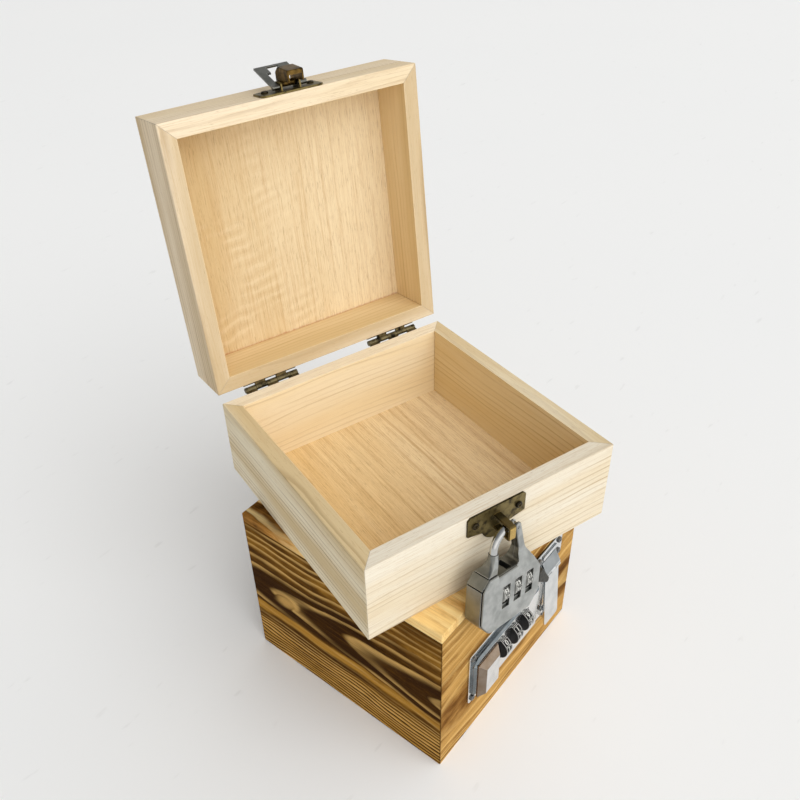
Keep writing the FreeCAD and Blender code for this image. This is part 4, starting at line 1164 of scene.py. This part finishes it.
@dataclass
class Padlock:
    """Die-cast padlock with a steel bow and three numbered dials."""

    dials: DialSet = DialSet(
        label="padlock", slot="black_dial", stand=Stand.PADLOCK, x=(-4.3, 4.7, 13.7), y=-1.0, z=-35.5,
        radius=5.1, tilt=34.0, shown=(5, 6, 8),
        stock=NumberStock(number_tall=2.0, frame_wide=3.3, frame_tall=2.9, frame_line=0.3))

    def build(self) -> None:
        """Model the dial numbers."""
        ink = MouldedPart(paint(16, 16, 16), paint(26, 26, 26), paint(44, 44, 44), 0.5)
        self.dials.build(ink.material("padlock_number_ink"))

    def dress(self) -> None:
        """Put the metal finishes on."""
        # Painted shade on the case's sides and bevels, a painted highlight on its edges, and painted shade in
        # its gaps.
        zinc = PlatedMetal(
            ground=paint(188, 190, 188), haze=paint(128, 131, 129), edge_colour=paint(234, 234, 230),
            side=paint(112, 112, 106), front=(-0.13, -0.99, 0.11), side_share=0.75,
            rough=0.28, rough_spread=0.14, pits=0.35, soften=0.4)
        dress(
            zinc.material("padlock_zinc"),
            "padlock_front_shell", "padlock_back_shell", "padlock_left_foot", "padlock_axle",
            "padlock_arm_pin")
        steel = PlatedMetal(
            ground=paint(204, 204, 202), haze=paint(166, 168, 168), edge_colour=paint(236, 236, 234),
            rough=0.1, rough_spread=0.1, pits=0.06, soften=0.1)
        dress(steel.material("bow_steel_bright"), "padlock_bow")
        silver = MouldedPart(paint(206, 206, 200), paint(184, 184, 178), paint(224, 224, 220), 0.4, 0.3, 0.5)
        dress(
            silver.material("padlock_dial_silver"), "padlock_dial_1", "padlock_dial_2", "padlock_dial_3")
        knob = MouldedPart(paint(50, 48, 45), paint(74, 72, 67), paint(150, 148, 142), 0.32, 0.7, 0.5)
        dress(knob.material("padlock_knob_dark"), "padlock_knob")


@dataclass
class Studio:
    """Pale floor, soft light and the camera."""

    floor_half: float = 6.0
    room_strength: float = 1.0
    sun_strength: float = 1.2
    sun_way: Triple = (-0.12, -0.60, 0.79)
    sun_spread: float = 60.0
    bright_way: Triple = (0.40, -0.92, 0.0)
    dim: Colour = (0.31, 0.315, 0.315, 1.0)
    bright: Colour = (1.38, 1.36, 1.33, 1.0)
    floor_white: Colour = paint(249, 249, 248)
    floor_grey: Colour = paint(245, 246, 246)
    scuff_grey: Colour = paint(210, 210, 208)
    eye: Triple = (-273.93, -208.27, 438.00)
    right: Triple = (0.64879, -0.75858, -0.06030)
    down: Triple = (-0.48925, -0.35512, -0.79657)
    forward: Triple = (0.58284, 0.54631, -0.60153)
    focal_pixels: float = 829.2382
    middle: tuple[float, float] = (343.0175, 406.1907)
    image: float = 800.0
    sensor: float = 36.0
    near: float = 0.01

    def build_floor(self) -> None:
        """Lay the floor."""
        deselect()
        bpy.ops.mesh.primitive_plane_add(size=2 * self.floor_half, location=(0, 0, 0))
        floor = bpy.context.object
        floor.name = "studio_floor"
        bpy.ops.object.mode_set(mode="EDIT")
        bpy.ops.mesh.select_all(action="SELECT")
        bpy.ops.mesh.subdivide(number_cuts=4)
        bpy.ops.object.mode_set(mode="OBJECT")
        material, sheet = Sheet.named("studio_floor_paint")
        place = sheet.object_place()
        cloud = sheet.cloud(place, 3.0, 3.0, 0.5)
        scuff = sheet.noise(place, (40.0, 160.0, 1.0), 2.0).rise(0.68, 0.76)
        colour = sheet.mix(cloud * 0.5, self.floor_white, self.floor_grey)
        colour = sheet.mix(scuff * 0.2, colour, self.scuff_grey)
        sheet.finish({"Base Color": colour, "Roughness": 0.6, "Specular IOR Level": 0.2})
        floor.data.materials.append(material)
        LOG.info("built %s", floor.name)

    def build_light(self) -> None:
        """Fill the room with light and add the soft main lamp."""
        world = bpy.data.worlds.new("studio_room")
        bpy.context.scene.world = world
        world.use_nodes = True
        sheet = Sheet(world.node_tree)
        place = sheet.node("ShaderNodeTexCoord", out="Generated")
        _, _, up = sheet.split(place)
        side = sheet.toward(place, self.bright_way).rise(-0.9, 0.9)
        tone = sheet.mix(side, self.dim, self.bright)
        stops = [
            (0.0, (0.9, 0.9, 0.9, 1.0)), (0.5, (1.15, 1.15, 1.15, 1.0)),
            (0.78, (1.0, 1.0, 1.0, 1.0)), (0.9, (0.5, 0.51, 0.53, 1.0)), (1.0, (0.42, 0.43, 0.45, 1.0))]
        colour = sheet.node("ShaderNodeValToRGB", {"stops": stops}, {0: up * 0.5 + 0.5})
        colour = sheet.mix(1.0, colour, tone, "MULTIPLY")
        sockets = {"Color": colour, "Strength": self.room_strength}
        room = sheet.node("ShaderNodeBackground", None, sockets, "Background")
        sheet.node("ShaderNodeOutputWorld", None, {"Surface": room})
        lamp = bpy.data.lights.new("main_light", "SUN")
        lamp.energy = self.sun_strength
        lamp.angle = math.radians(self.sun_spread)
        held = bpy.data.objects.new("main_light", lamp)
        bpy.context.scene.collection.objects.link(held)
        held.rotation_euler = (-Vector(self.sun_way)).to_track_quat("-Z", "Y").to_euler()
        held.visible_glossy = False
        LOG.info("hung %s", held.name)

    def build_camera(self) -> None:
        """Stand the camera where the picture was taken from."""
        lens = bpy.data.cameras.new("studio_camera")
        lens.sensor_width = self.sensor
        lens.lens = self.focal_pixels * self.sensor / self.image
        lens.shift_x = (self.image / 2 - self.middle[0]) / self.image
        lens.shift_y = (self.middle[1] - self.image / 2) / self.image
        lens.clip_start = self.near
        held = bpy.data.objects.new("studio_camera", lens)
        bpy.context.scene.collection.objects.link(held)
        columns = (Vector(self.right), -Vector(self.down), -Vector(self.forward))
        turn = Matrix(columns).transposed().to_4x4()
        held.matrix_world = shift(*self.eye) @ turn
        bpy.context.scene.camera = held
        LOG.info("stood %s", held.name)


def main() -> None:
    """Build and dress everything in order."""
    logging.basicConfig(level=logging.INFO, format="%(name)s: %(message)s")
    bpy.context.scene.view_settings.view_transform = "Standard"
    DarkBox().dress()
    PaleBox().dress()
    latch = CombinationLatch()
    latch.build()
    latch.dress()
    padlock = Padlock()
    padlock.build()
    padlock.dress()
    studio = Studio()
    studio.build_floor()
    studio.build_light()
    studio.build_camera()


if __name__ == "__main__":
    main()
